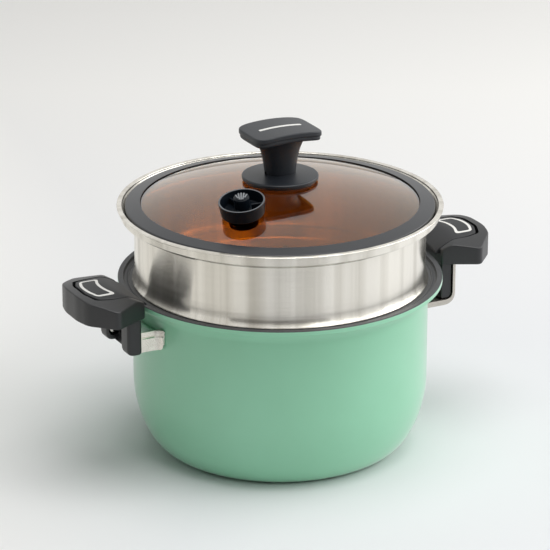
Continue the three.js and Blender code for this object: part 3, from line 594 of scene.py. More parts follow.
def use_group(tree, name, vector, *values):
    """Places a node group, with its values after the vector."""
    made = tree.nodes.new("ShaderNodeGroup")
    made.node_tree = bpy.data.node_groups[name]
    tree.links.new(vector, made.inputs[0])
    for i, value in enumerate(values):
        made.inputs[i + 1].default_value = value
    return made


def blend(tree, share, low, high, between=NOISE_SPAN):
    """Colour between two tones, by a value."""
    ramp = tree.nodes.new("ShaderNodeValToRGB")
    for stop, place_at, tone in zip(ramp.color_ramp.elements, between, (low, high)):
        stop.position = place_at
        stop.color = (*tone, 1)
    tree.links.new(share, ramp.inputs[0])
    return ramp.outputs["Color"]


def ranged(tree, value, low, high, between=NOISE_SPAN):
    """Value spread over a span."""
    made = tree.nodes.new("ShaderNodeMapRange")
    set_inputs(made, From_Min=between[0], From_Max=between[1], To_Min=low, To_Max=high)
    tree.links.new(value, made.inputs["Value"])
    return made.outputs["Result"]


def bumped(tree, shader, height, strength, depth):
    """Fine relief from a height value."""
    bump = tree.nodes.new("ShaderNodeBump")
    set_inputs(bump, Strength=strength, Distance=depth)
    tree.links.new(height, bump.inputs["Height"])
    tree.links.new(bump.outputs["Normal"], shader.inputs["Normal"])


def coat_finish(name, low, high, rough, grain, patch, relief, depth=0.0001, **sockets):
    """Moulded or coated surface with fine grain and broad patches."""
    _, tree, shader, at = start_finish(name)
    grains = use_group(tree, "Surface grain", at, grain, patch)
    tree.links.new(blend(tree, grains.outputs["Patch"], low, high), shader.inputs["Base Color"])
    tree.links.new(ranged(tree, grains.outputs["Grain"], *rough), shader.inputs["Roughness"])
    bumped(tree, shader, grains.outputs["Grain"], relief, depth)
    set_inputs(shader, **sockets)


def metal_finish(name, low, high, rough, lines, run, relief, stretch=0.8, shade="Bands", between=NOISE_SPAN):
    """Steel with fine turned lines, which spread its reflections upwards and downwards."""
    _, tree, shader, at = start_finish(name)
    brushed = use_group(tree, "Turned lines", at, lines, run)
    tree.links.new(blend(tree, brushed.outputs[shade], low, high, between), shader.inputs["Base Color"])
    tree.links.new(ranged(tree, brushed.outputs["Lines"], *rough), shader.inputs["Roughness"])
    bumped(tree, shader, brushed.outputs["Lines"], relief, 0.00002)
    set_inputs(shader, Metallic=1.0, Anisotropic=stretch, Anisotropic_Rotation=0.25)


def glass_finish(name, tone):
    """Tinted glass that lets the lamps through to what is under it."""
    _, tree, shader, at = start_finish(name)
    grains = use_group(tree, "Surface grain", at, 60.0, 9.0)
    deep = [c * 0.97 for c in tone]
    tree.links.new(blend(tree, grains.outputs["Patch"], tone, deep), shader.inputs["Base Color"])
    set_inputs(shader, Transmission_Weight=1.0, Roughness=0.02, IOR=1.5,
               Coat_Weight=0.5, Coat_IOR=1.65, Coat_Roughness=0.02)
    clear = tree.nodes.new("ShaderNodeBsdfTransparent")
    set_inputs(clear, Color=(*[c ** 1.3 for c in tone], 1))
    path = tree.nodes.new("ShaderNodeLightPath")
    mix = tree.nodes.new("ShaderNodeMixShader")
    tree.links.new(path.outputs["Is Shadow Ray"], mix.inputs[0])
    tree.links.new(shader.outputs[0], mix.inputs[1])
    tree.links.new(clear.outputs[0], mix.inputs[2])
    tree.links.new(mix.outputs[0], tree.nodes["Material Output"].inputs["Surface"])


def make_finishes(scene):
    """Every finish of the cooker, made once."""
    if "Mint coat" in bpy.data.materials:
        return
    grain_group()
    brushed_group()
    tones = scene.cooker_colours
    coat_finish("Mint coat", tones.mint_deep, tones.mint, (0.34, 0.42), 1800.0, 10.0, 0.05, 0.00005,
                Coat_Weight=0.5, Coat_Roughness=0.18, Sheen_Weight=0.6, Sheen_Roughness=0.25)
    coat_finish("Non-stick coat", tones.non_stick, tones.speck, (0.42, 0.55), 1400.0, 900.0, 0.1)
    # the brushed steel takes its colour from the up-and-down streaks, painted reflection streaks, while its
    # anisotropy spreads real reflections
    metal_finish("Brushed steel", tones.steel_painted_streak, tones.steel, (0.2, 0.26), 1400.0, 4.0, 0.012,
                 stretch=0.95, shade="Streaks", between=(0.3, 0.56))
    for name, tone, share, rough, lines, run, relief in (
            ("Stay steel", tones.stay, 0.9, (0.24, 0.32), 1400.0, 4.0, 0.012),
            ("Strap steel", tones.strap, 0.9, (0.24, 0.32), 1400.0, 4.0, 0.012),
            ("Screw steel", tones.screw, 0.88, (0.14, 0.2), 1400.0, 4.0, 0.02),
            ("Turned plate", tones.plate, 0.88, (0.32, 0.45), 500.0, 3.0, 0.25)):
        metal_finish(name, [c * share for c in tone], tone, rough, lines, run, relief)
    for name, tone, share, rough, grain, patch, relief, shine in (
            ("Grey silicone", tones.silicone, 0.92, (0.28, 0.36), 2200.0, 30.0, 0.08, 0.5),
            ("Knob plastic", tones.knob, 0.88, (0.34, 0.42), 2600.0, 40.0, 0.1, 0.45),
            ("Valve plastic", tones.valve, 0.88, (0.28, 0.36), 2600.0, 60.0, 0.06, 0.2),
            # the light grey of the hub ribs is a painted highlight on real ribs
            ("Valve ribs painted highlight", tones.rib, 0.88, (0.2, 0.28), 2600.0, 60.0, 0.06, 0.5),
            # the lighter grey on the valve cup rim is a painted highlight
            ("Valve rim painted highlight", tones.edge, 0.88, (0.2, 0.28), 2600.0, 60.0, 0.06, 0.5),
            ("Handle plastic", tones.handle, 0.88, (0.36, 0.46), 2200.0, 40.0, 0.12, 0.6),
            ("Tongue plastic", tones.tongue, 0.88, (0.46, 0.56), 2200.0, 40.0, 0.12, 0.4),
            ("White line", tones.white, 0.97, (0.45, 0.55), 3000.0, 200.0, 0.05, 0.5)):
        coat_finish(name, [c * share for c in tone], tone, rough, grain, patch, relief,
                    Specular_IOR_Level=shine)
    glass_finish("Amber glass", tones.amber)


# Pieces

class COOKER_OT_pot(bpy.types.Operator):
    """Cast pot with its dark inside, and the induction plate"""
    bl_idname = "cooker.pot"
    bl_label = "Pot and base plate"
    bl_options = {"REGISTER", "UNDO"}

    def execute(self, context):
        make_finishes(context.scene)
        p = context.scene.cooker_pot
        lip = p.wall_radius + p.lip
        bore = p.wall_radius - p.wall
        foot = p.wall_radius - p.corner
        room = p.plate_radius + GAP
        cove = p.rim - p.lip_edge - p.lip

        def corner(inner, outer, low, high):
            for i in range(25):
                a = math.pi / 2 * i / 24
                yield (inner + (outer - inner) * math.sin(a) ** (2 / FULLNESS),
                       low + (high - low) * (1 - max(math.cos(a), 0) ** (2 / FULLNESS)))
        outside = [(0, p.plate + GAP), (room, p.plate + GAP), (room, p.foot)]
        outside += corner(foot, p.wall_radius, p.foot, p.corner_top)
        for i in range(13):
            a = math.pi / 2 * i / 12
            outside.append((p.wall_radius + p.lip * (1 - math.cos(a)), cove + p.lip * math.sin(a)))
        edge = rounded([(lip, cove + p.lip), (lip, p.rim, 1.3 * MM), (lip - p.lip_top, p.rim)], 9)
        coat_end = 4  # point of the rounded lip edge where the mint coat ends
        top = p.rim - p.ledge_drop
        out = lip - p.lip_top - 0.5 * MM
        ridge = out - p.ridge_in
        ridge_half, ridge_crest, ridge_rise, soft = 0.9 * MM, 0.5 * MM, 0.7 * MM, 0.4 * MM
        inside = edge[coat_end:-1] + rounded([
            edge[-2], (lip - p.lip_top, p.rim, 0.6 * MM), (out, top, 0.8 * MM),
            (ridge + ridge_half, top, soft), (ridge + ridge_crest, top + ridge_rise, soft),
            (ridge - ridge_crest, top + ridge_rise, soft), (ridge - ridge_half, top, soft),
            (out - p.ledge, top, 1.2 * MM), (bore, top - p.throat, 1.2 * MM), (bore, p.corner_top)])[1:]
        inside += list(corner(foot - p.wall, bore, p.floor, p.corner_top))[::-1][1:]
        inside.append((0, p.floor))
        bm = spun(bmesh.new(), outside + edge[1:coat_end + 1])
        spun(bm, inside, finish=1)
        place("pot_shell", bm, "pot", ["pot_body"], ["Mint coat", "Non-stick coat"])
        line = [(0, 0)]
        for r in (p.plate_radius * 0.3, p.plate_radius * 0.9):
            groove = 0.5 * MM
            line += [(r - 1.2 * MM, 0), (r - 0.6 * MM, groove), (r + 0.6 * MM, groove), (r + 1.2 * MM, 0)]
        line += rounded([
            (p.plate_radius * 0.95, 0), (p.plate_radius, 0, 0.8 * MM), (p.plate_radius, p.plate, 0.4 * MM),
            (0, p.plate)])
        bm = spun(bmesh.new(), line)
        place("induction_plate", bm, "pot", ["base_plate"], ["Turned plate"])
        return {"FINISHED"}


class COOKER_OT_steamer(bpy.types.Operator):
    """Steel steamer with a flared foot, a conical shoulder, a collar, a thin bead and a pierced floor"""
    bl_idname = "cooker.steamer"
    bl_label = "Steamer"
    bl_options = {"REGISTER", "UNDO"}

    def execute(self, context):
        make_finishes(context.scene)
        p = context.scene.cooker_steamer
        t = p.sheet
        hem = p.foot + t * 0.6
        bead_in = p.bead_radius - p.bead_width
        inner = p.skirt_radius - t

        def flare(shift):
            for i in range(13):
                a = 1 - i / 12
                yield (p.wall_radius - shift + (p.foot_radius - p.wall_radius) * a ** 2.2,
                       hem + p.flare * (1 - a))
        line = rounded([
            (0, p.pierced), (p.skirt_radius, p.pierced, 2.2 * MM), (p.skirt_radius, p.foot, 0.3 * MM),
            (p.foot_radius, p.foot, 0.3 * MM), (p.foot_radius, hem)])[:-1]
        line += flare(0)
        line += rounded([
            line[-1], (p.wall_radius, p.cone, 1.5 * MM), (p.collar_radius, p.collar_low, 0.7 * MM),
            (p.collar_radius, p.bead_low, 0.3 * MM), (p.bead_radius, p.bead_low, 0.6 * MM),
            (p.bead_radius, p.bead_top, 0.9 * MM), (bead_in, p.bead_top, 1.6 * MM),
            (bead_in, p.bead_top - 1.5 * MM, 0.8 * MM), (p.wall_radius - t, p.cone + t, 2.0 * MM),
            list(flare(t))[-1]])[1:-1]
        line += list(flare(t))[::-1][:-1]
        line += rounded([
            line[-1], (inner, p.foot + t, 0.5 * MM), (inner, p.pierced + t, 1.5 * MM),
            (0, p.pierced + t)])[1:]
        bm = spun(bmesh.new(), line)
        holes = bmesh.new()
        for ring in (1, 2, 3):
            for i in range(6 * ring):
                a = 2 * math.pi * i / (6 * ring)
                way = Vector((math.cos(a), math.sin(a), 0))
                at = way * p.hole_step * ring + Vector((0, 0, p.pierced))
                cylinder(holes, p.hole, 8 * MM, 20, Matrix.Translation(at))
        bmesh.ops.recalc_face_normals(bm, faces=bm.faces)
        bm = carved("steamer_shell", bm, holes)
        place("steamer_shell", bm, "steamer", ["steamer"], ["Brushed steel"])
        return {"FINISHED"}


def dome_heights(lid):
    """Heights of the upper and lower face of the glass at a radius."""
    inner = lid.dome - lid.glass
    return (lambda r: lid.crown - lid.dome + math.sqrt(lid.dome ** 2 - r * r),
            lambda r: lid.crown - lid.glass - inner + math.sqrt(inner ** 2 - r * r))


def valve_turn(scene):
    """Matrix from the valve's own axis to its place on the glass."""
    v = scene.cooker_valve
    over, _ = dome_heights(scene.cooker_lid)
    tilt = math.asin(v.out / scene.cooker_lid.dome)
    return (Matrix.Rotation(VALVE_WAY, 4, "Z") @ Matrix.Translation((v.out, 0, over(v.out)))
            @ Matrix.Rotation(tilt, 4, "Y"))


class COOKER_OT_lid(bpy.types.Operator):
    """Domed amber glass in a grey silicone ring"""
    bl_idname = "cooker.lid"
    bl_label = "Lid glass and ring"
    bl_options = {"REGISTER", "UNDO"}

    def execute(self, context):
        scene = context.scene
        make_finishes(scene)
        p = scene.cooker_lid
        over, under = dome_heights(p)
        hole = 3.7 * MM  # radius of the hole for the knob screw
        radii = [hole + (p.glass_radius - hole) * i / 28 for i in range(29)]
        pane = [(r, under(r)) for r in radii] + [(r, over(r)) for r in reversed(radii)]
        bm = spun(bmesh.new(), pane, closed=True)
        bmesh.ops.recalc_face_normals(bm, faces=bm.faces)
        bore = bmesh.new()
        cylinder(bore, scene.cooker_valve.stem_radius + GAP, 20 * MM, 32, valve_turn(scene))
        bm = carved("lid_pane", bm, bore)
        place("lid_pane", bm, "lid", ["lid_glass"], ["Amber glass"])
        low_in = p.ring_in + 1 * MM
        edge = p.glass_radius + GAP
        lap = over(p.ring_in) + GAP
        bm = spun(bmesh.new(), rounded([
            (p.ring_in, lap, 0.3 * MM), (p.ring_in, lap + 0.7 * MM, 0.4 * MM),
            (p.ring_out, p.ring_edge_top, 1.2 * MM), (p.ring_out, p.ring_edge_low, 0.8 * MM),
            (p.ring_out - 5.3 * MM, p.ring_low, 0.8 * MM), (low_in, p.ring_low, 0.8 * MM),
            (low_in, under(low_in) - GAP, 0.3 * MM), (edge, under(p.glass_radius) - GAP),
            (edge, over(p.glass_radius) + GAP)]), closed=True)
        place("lid_ring", bm, "lid", ["lid_seal"], ["Grey silicone"])
        return {"FINISHED"}


class COOKER_OT_knob(bpy.types.Operator):
    """Knob with a round disc, a flared stem and a two-part arched plate"""
    bl_idname = "cooker.knob"
    bl_label = "Knob"
    bl_options = {"REGISTER", "UNDO"}

    def execute(self, context):
        make_finishes(context.scene)
        p = context.scene.cooker_knob
        over, _ = dome_heights(context.scene.cooker_lid)
        top = p.disc_low + p.disc + p.disc_rise
        bore = 2.8 * MM  # radius of the hole for the knob screw
        ring = p.disc_radius - 1.8 * MM
        edge_low = p.disc_low - p.disc_skirt
        bm = spun(bmesh.new(), rounded([
            (bore, p.disc_low), (ring, over(ring) + 0.2 * MM, 0.2 * MM), (ring, edge_low, 0.2 * MM),
            (p.disc_radius, edge_low, 0.9 * MM), (p.disc_radius, p.disc_low + p.disc - 0.5 * MM, 1.3 * MM),
            (p.stem_long + 1 * MM, top, 2.0 * MM), (bore, top)]), 96, closed=True)
        place("knob_disc", bm, "lid", ["knob_base"], ["Knob plastic"])
        cuts = cross_cuts(spread(-p.half_long, p.half_long, 15), "X")

        def plan(inset):
            for i in range(72):
                a = 2 * math.pi * (i + 0.5) / 72
                yield tuple(math.copysign(abs(c) ** SQUARENESS, c) * (half - inset) for c, half in (
                    (math.cos(a), p.half_long), (math.sin(a), p.half_wide)))

        def arch(height):
            return lambda x, y: height - p.arch * (x / p.half_long) ** 2

        def plate(inset, low, low_round, high, high_round):
            outline = list(plan(inset))
            rise, fall = edge_drop(outline, low_round), edge_drop(outline, high_round)
            return slab(outline, KNOB_RINGS, cuts, lambda x, y: arch(low)(x, y) + rise(x, y),
                        lambda x, y: arch(high)(x, y) - fall(x, y))
        cap_low = p.cap_top - p.cap
        plate_top = cap_low - p.seam
        plate_low = plate_top - p.under
        bm = plate(0, cap_low, 0.6 * MM, p.cap_top, 1.0 * MM)
        place("knob_top", bm, "lid", ["knob_cap"], ["Knob plastic"])
        bm = plate(p.under_inset, plate_low, 1.4 * MM, plate_top, 0.6 * MM)
        foot = top - 0.2 * MM
        tall = plate_low - p.arch + p.under / 2 - foot
        line = [(bore, foot)]
        for i in range(25):
            t = (i / 24) ** 1.3  # closer steps near the foot
            line.append((p.stem_wide * (1 + p.stem_lean * t + p.stem_flare * t ** 4), foot + tall * t))
        line.append((bore, foot + tall))
        stem = spun(bmesh.new(), line, 72, closed=True)
        bmesh.ops.scale(stem, vec=(p.stem_long / p.stem_wide, 1, 1), verts=stem.verts)
        bmesh.ops.recalc_face_normals(stem, faces=stem.faces)
        nicks = bmesh.new()
        nick = Matrix.Diagonal((2.6 * MM, 4.5 * MM, 3 * MM, 1))
        for sign in (-1, 1):
            at = Matrix.Translation((sign * p.stem_long, 0, foot + 0.8 * MM))
            bmesh.ops.create_cube(nicks, size=1.0, matrix=at @ nick)
        joined(bm, carved("stem", stem, nicks))
        place("knob_stem", bm, "lid", ["knob_grip"], ["Knob plastic"])
        half, wide = p.bar_long / 2, p.bar_wide / 2
        soft = wide * 0.6
        sunk, proud = 0.2 * MM, 0.12 * MM
        bar = rounded([(-half, -wide, soft), (half, -wide, soft), (half, wide, soft), (-half, wide, soft)])
        bm = slab(bar, [], cross_cuts(spread(-half, half, 15), "X"),
                  arch(p.cap_top - sunk), arch(p.cap_top + proud))
        place("knob_bar", bm, "lid", [], ["White line"])
        return {"FINISHED"}


class COOKER_OT_valve(bpy.types.Operator):
    """Steam valve with an open cup, three webs, a lifting ribbed hub and a nut under the glass"""
    bl_idname = "cooker.valve"
    bl_label = "Steam valve"
    bl_options = {"REGISTER", "UNDO"}

    def execute(self, context):
        scene = context.scene
        make_finishes(scene)
        p = scene.cooker_valve
        turn = valve_turn(scene)
        top = p.cup_low + p.cup
        floor = p.cup_low + p.cup_floor
        foot = p.cup_radius - p.cup_taper
        nut_top = -scene.cooker_lid.glass - 0.6 * MM
        nut_low = nut_top - p.nut
        stem_low = nut_low - 1.0 * MM
        boss = floor + p.boss
        bm = spun(bmesh.new(), rounded([
            (p.bore, stem_low, 0.3 * MM), (p.stem_radius, stem_low, 0.5 * MM), (p.stem_radius, p.cup_low),
            (foot, p.cup_low, 1.0 * MM), (p.cup_radius, top, 0.3 * MM),
            (p.cup_radius - p.cup_wall, top, 0.3 * MM), (foot - p.cup_wall, floor, 1.0 * MM),
            (p.boss_radius, floor, 0.6 * MM), (p.boss_radius, boss, 0.5 * MM),
            (p.bore, boss, 0.4 * MM)]), 80, closed=True)
        # the flat top of the cup rim takes the lighter grey, a painted highlight
        for face in bm.faces:
            if face.calc_center_median().z > top - 0.02 * MM:
                face.material_index = 1
        near, far, half = p.boss_radius + 2 * MM, foot - p.cup_wall / 2, 0.8 * MM
        for i in range(3):
            web = prism(bm, [(near, -half), (far, -half), (far, half), (near, half)],
                        floor - 0.5 * MM, floor + 5 * MM, Matrix.Rotation(2 * math.pi * i / 3, 4, "Z"))
            softened(bm, 0.3 * MM, verts=web)
        bmesh.ops.transform(bm, matrix=turn, verts=bm.verts)
        place("steam_cup", bm, "lid", ["valve_cup"], ["Valve plastic", "Valve rim painted highlight"])
        low = boss + GAP
        high = low + p.hub
        pin, pin_low = p.bore - 0.6 * MM, low - 8 * MM
        r = p.hub_radius
        bm = spun(bmesh.new(), rounded([
            (0, pin_low), (pin, pin_low, 0.4 * MM), (pin, low), (r, low, 0.5 * MM),
            (r, high - 1.2 * MM, 0.4 * MM), (r - 0.9 * MM, high - 1.2 * MM, 0.2 * MM),
            (r - 0.9 * MM, high - 0.6 * MM, 0.4 * MM), (0, high - 0.6 * MM)]), SMALL)
        plain = len(bm.faces)
        aside = Matrix.Rotation(RIB_TURN, 4, "Z")
        for i in range(-2, 3):
            mid, wide = i * p.rib_step, p.rib_step * 0.22
            run = math.sqrt((r - 1.2 * MM) ** 2 - mid ** 2)
            near = mid * 0.6  # the ribs draw together towards one side
            prism(bm, [(-run, mid - wide), (run, near - wide), (run, near + wide), (-run, mid + wide)],
                  high - 0.8 * MM, high, aside)
        bm.faces.ensure_lookup_table()
        # the rib tops take the light grey, a painted highlight
        for face in bm.faces[plain:]:
            face.material_index = 1
        bmesh.ops.transform(bm, matrix=turn, verts=bm.verts)
        place("steam_weight", bm, "valve_weight", ["valve_weight"],
              ["Valve plastic", "Valve ribs painted highlight"])
        inner = p.stem_radius + GAP
        bm = spun(bmesh.new(), rounded([
            (inner, nut_low), (p.nut_radius, nut_low, 0.8 * MM), (p.nut_radius, nut_top, 0.6 * MM),
            (inner, nut_top)]), SMALL, closed=True)
        bmesh.ops.transform(bm, matrix=turn, verts=bm.verts)
        place("steam_nut", bm, "lid", ["valve_nut"], ["Valve plastic"])
        return {"FINISHED"}


def crown_height(h):
    """Height of the crowned top of a handle, which falls towards the pot."""
    slope_curve = 1.4
    blend_reach, blend_drop = 1.2 * MM, 0.3 * MM  # softening where crown and slope meet

    def height(u, s):
        across = h.crown - h.crown_radius + math.sqrt(h.crown_radius ** 2 - s * s)
        short = max(h.start + h.slope - u, 0)
        along = h.crown - h.slope_drop * (short / h.slope) ** slope_curve
        meet = max(1 - abs(across - along) / blend_reach, 0)
        return min(across, along) - meet * meet * blend_drop
    return height


class COOKER_OT_handles(bpy.types.Operator):
    """Two handles with legs, and the lock tongues that slide in them"""
    bl_idname = "cooker.handles"
    bl_label = "Handles and lock tongues"
    bl_options = {"REGISTER", "UNDO"}

    def execute(self, context):
        scene = context.scene
        make_finishes(scene)
        h = scene.cooker_handle
        crown = crown_height(h)
        start = h.start
        low = h.crown - h.grip
        lip = scene.cooker_pot.wall_radius + scene.cooker_pot.lip
        outline = rounded(mirrored([
            (start, -h.root_half, 1.5 * MM), (start + h.wide_at, -h.wide_half, 4 * MM),
            (start + h.corner_at, -h.corner_half, 5 * MM), (start + h.grip_length, -h.end_half, 4 * MM)]), 6)
        arc_points = 13
        soft = 3 * MM

        def tongue_plan(side, end, tip):
            turn = math.asin((h.tongue_half + side) / tip)
            angles = [turn * (1 - 2 * i / (arc_points - 1)) for i in range(arc_points)]
            sides = mirrored([
                (start + h.tongue_bend + end, -h.tongue_half - side, soft),
                (start + h.tongue_corner + end, -h.tongue_corner_half - side, soft),
                (start + h.tongue_end + end, -h.end_half, soft)])
            return rounded([(tip * math.cos(a), tip * math.sin(a)) for a in angles] + sides, 6)
        bounds = tongue_plan(h.play, h.reveal, lip - 2 * MM)[arc_points:]
        flat = [Vector((*p, 0)) for p in bounds]
        straight = start + 24 * MM  # the channel keeps its width up to here

        def in_room(point):
            if point.x < straight:
                return abs(point.y) < h.tongue_half + h.play
            here = Vector((point.x, point.y, 0))
            return all((b - a).cross(here - a).z > 0 for a, b in zip(flat, flat[1:]))
        grid = cross_cuts([start + d * MM for d in (2, 4.5, 7, 9.5, 12, 14.5, 17, 19.5, 21.5, 25)], "X")
        grid += cross_cuts([s * MM for s in range(-40, 41, 5)], "Y")
        plan = tongue_plan(-0.9 * MM, -0.2 * MM, lip + 1 * MM)
        fall = edge_drop(plan, 0.9 * MM)
        for name, turn in (("left", math.pi), ("right", 0.0)):
            tongue = name + "_tongue"
            handle = self.grip(h, outline, grid, bounds, in_room, crown, low)
            joined(handle, self.legs(h, scene.cooker_bracket, low, name == "left"))
            lock = slab(plan, [0.12 * MM, 0.3 * MM, 0.5 * MM], grid, lambda u, s: h.floor + h.play,
                        lambda u, s: crown(u, s) - fall(u, s))
            line = self.outline(h, crown)
            for bm in (handle, lock, line):
                bmesh.ops.transform(bm, matrix=Matrix.Rotation(turn, 4, "Z"), verts=bm.verts)
            place(name + "_grip", handle, "pot", [name + "_handle"], ["Handle plastic"], 50)
            place(name + "_lock", lock, tongue, [tongue], ["Tongue plastic"], 50)
            place(name + "_lock_line", line, tongue, [], ["White line"], 50)
        return {"FINISHED"}

    def grip(self, h, outline, grid, bounds, in_room, crown, low):
        """Bmesh of the grip with its channel: a cut plan, raised to the crown outside the channel."""
        walls = [((*a, 0), ((b[1] - a[1]), -(b[0] - a[0]), 0)) for a, b in zip(bounds, bounds[1:])
                 if (Vector(b) - Vector(a)).length > NEAR]
        walls += cross_cuts([bounds[0][1], -bounds[0][1], h.slot_half, -h.slot_half], "Y")
        slot = (h.start + h.slot_near, h.start + h.slot_far)
        walls += cross_cuts(slot, "X")
        rings = [ring * MM for ring in (0.15, 0.25, 0.35, 0.35)]
        bm = plan_mesh(outline, rings, grid + walls, h.floor)
        middles = {f: f.calc_center_median() for f in bm.faces}
        open_way = [f for f, m in middles.items() if abs(m.y) < h.slot_half and slot[0] < m.x < slot[1]]
        bmesh.ops.delete(bm, geom=open_way, context="FACES")
        under = extruded(bm, list(bm.faces))
        fall = edge_drop(outline, h.edge)
        for v in under:
            v.co.z = low + fall(v.co.x, v.co.y)
        plan = [f for f in bm.faces if not any(v in under for v in f.verts)]
        raised = extruded(bm, [f for f in plan if not in_room(f.calc_center_median())], False)
        for v in raised:
            v.co.z = crown(v.co.x, v.co.y) - fall(v.co.x, v.co.y)
        bmesh.ops.recalc_face_normals(bm, faces=bm.faces)
        bm.normal_update()
        brink = [e for e in bm.edges if all(v in raised for v in e.verts) and len(e.link_faces) == 2
                 and e.calc_face_angle(0) > math.radians(50) and fall(*e.verts[0].co.xy) < NEAR]
        bevelled(bm, brink, 0.5 * MM, 2)
        return bm

    def legs(self, h, b, low, left):
        """Bmesh of the two legs, on the left with counterbores for the stay screws and a web."""
        depth, foot = (h.leg_left, h.leg_low) if left else (h.leg_right, h.leg_low_right)
        toe, brim = (3.2 * MM, 2.6 * MM) if left else (1.8 * MM, 1.0 * MM)
        near = h.start + h.leg_set
        far = near + depth
        top = low + 1 * MM
        side = rounded([(near, top), (near, foot, toe), (far, foot, 6 * MM), (far, top)], 6)
        both = bmesh.new()
        for sign in (-1, 1):
            bm = bmesh.new()
            ends = sorted((sign * h.leg_near, sign * (h.leg_near + h.leg_wide)))
            prism(bm, side, *ends, UPRIGHT)
            softened(bm, brim, 60)
            if left:
                tool = bmesh.new()
                at = Matrix.Translation((near + b.screw_in, sign * h.leg_near, b.screw_height))
                across = Matrix.Rotation(math.pi / 2, 4, "X")
                cylinder(tool, b.counterbore, b.counterbore_long, 40, at @ across)
                bm = carved("leg", bm, tool)
            joined(both, bm)
        if left:
            sill, web_top, ends = near + 5.0 * MM, foot + 9.3 * MM, h.leg_near + 2 * MM
            prism(both, [(near, foot), (sill, foot), (sill, foot + 0.8 * MM), (near + 0.2 * MM, web_top),
                         (near, web_top)], -ends, ends, UPRIGHT)
        return both

    def outline(self, h, crown):
        """Bmesh of the thin white outline with rounded corners that follows the top of the tongue."""
        bm = bmesh.new()
        sunk, proud = 0.3 * MM, 0.1 * MM

        def loop(inset, soft):
            a, b, s = h.frame_near + inset, h.frame_far - inset, h.frame_half - inset
            base = math.sqrt(h.frame_bow ** 2 - h.frame_half ** 2)
            across = [s * k / 6 for k in (-6, -3, -2, -1, 0, 1, 2, 3, 6)]
            bow = [(v, math.sqrt(h.frame_bow ** 2 - v * v) - base) for v in across]
            far = [(b + r, v) for v, r in bow]
            near = [(a + r, v) for v, r in reversed(bow)]
            for side in (far, near):
                side[0], side[-1] = (*side[0], soft), (*side[-1], soft)
            verts = [bm.verts.new((u, s, 0)) for u, s in rounded(far + near, 6)]
            return [bm.edges.new(pair) for pair in zip(verts, verts[1:] + verts[:1])]
        bmesh.ops.bridge_loops(bm, edges=loop(0, 3.9 * MM) + loop(h.frame_line, 2.3 * MM))
        sliced(bm, cross_cuts([s * MM for s in range(-14, 15, 2)], "Y"))
        upper = extruded(bm, list(bm.faces))
        for v in bm.verts:
            v.co.z = crown(v.co.x, v.co.y) + (proud if v in upper else -sunk)
        bmesh.ops.recalc_face_normals(bm, faces=bm.faces)
        return bm


class COOKER_OT_brackets(bpy.types.Operator):
    """Steel brackets: two creased stays on the left and a folded strap on the right"""
    bl_idname = "cooker.brackets"
    bl_label = "Brackets"
    bl_options = {"REGISTER", "UNDO"}

    def execute(self, context):
        make_finishes(context.scene)
        b = context.scene.cooker_bracket
        bm = bmesh.new()
        near = b.stay_far - b.sheet
        sector(bm, b.wall_in, b.sheet, b.plate_low, b.plate_top, -near, near)
        for face in bm.faces:
            face.material_index = 1
        for sign in (-1, 1):
            self.stay(bm, b, sign)
        softened(bm, SHEET_EDGE, 60, 2)
        bmesh.ops.rotate(bm, cent=(0, 0, 0), matrix=Matrix.Rotation(math.pi, 3, "Z"), verts=bm.verts)
        place("left_stays", bm, "pot", ["left_bracket"], ["Stay steel", "Mint coat"])
        bm = bmesh.new()
        half = b.strap_half
        sector(bm, b.wall_in, b.sheet, b.strap_low, b.strap_low + b.strap_plate, -half, half)
        root = math.sqrt((b.wall_in + b.sheet) ** 2 - half ** 2) - b.sheet / 2
        out = b.strap_in + b.sheet
        floor = b.strap_low + b.strap_floor
        line = rounded([(root, b.strap_low), (out, b.strap_low, b.strap_bend), (out, b.strap_top)], 12)
        line += rounded([(b.strap_in, b.strap_top), (b.strap_in, floor, b.strap_bend - b.strap_floor),
                         (root, floor)], 12)
        prism(bm, line, -half, half, UPRIGHT)
        softened(bm, SHEET_EDGE, 60, 2)
        place("right_strap", bm, "pot", ["right_bracket"], ["Strap steel"])
        return {"FINISHED"}

    def stay(self, bm, b, sign):
        """Adds a stay that bends onto the pot wall, with a groove along it and its top leaning in."""
        near = b.stay_far - b.sheet
        outer = b.wall_in + b.sheet
        end = b.stay_far + b.flange
        root = math.sqrt(outer ** 2 - b.stay_far ** 2)
        bend = [Vector((root + 5 * MM, b.stay_far)), Vector((root + 0.4 * MM, b.stay_far)),
                Vector((math.sqrt(outer ** 2 - end ** 2) - 0.8 * MM, end))]
        band = [(b.stay_out, b.stay_far)] + [curve_point(*bend, i / 10) for i in range(11)]
        back = [(math.sqrt(b.wall_in ** 2 - v * v), v) for v in (end, near)] + [(b.stay_out, near)]
        plain = set(bm.verts)
        made = prism(bm, [(u, sign * v) for u, v in band + back], b.stay_low, b.stay_top)
        for step in (-1, 0, 1):
            bmesh.ops.bisect_plane(
                bm, geom=[g for g in (*bm.verts, *bm.edges, *bm.faces)
                          if all(v in made for v in getattr(g, "verts", [g]))],
                plane_co=(0, 0, b.stay_crease + step * b.groove), plane_no=(0, 0, 1), dist=NEAR)
            made = [v for v in bm.verts if v not in plain]
        for v in made:
            share = min(max((abs(v.co.y) - b.stay_far) / b.flange, 0), 1)
            curve = 1 - math.sqrt(1 - share * share)
            top = v.co.z > b.stay_top - TRACE
            crease = abs(v.co.z - b.stay_crease) < TRACE
            if top:
                v.co.z -= b.stay_round * curve
            elif v.co.z < b.stay_low + TRACE:
                v.co.z += b.stay_foot_round * curve
            sunk = b.stay_lean if top else b.groove if crease else 0
            if v.co.xy.length < b.wall_in + TRACE or abs(v.co.y) < near + TRACE:
                continue
            if abs(v.co.y) < b.stay_far + 2 * TRACE and v.co.x > outer:
                v.co.y -= sign * sunk
            else:
                v.co -= Vector((v.co.x, v.co.y, 0)).normalized() * sunk
        bmesh.ops.recalc_face_normals(bm, faces=bm.faces)


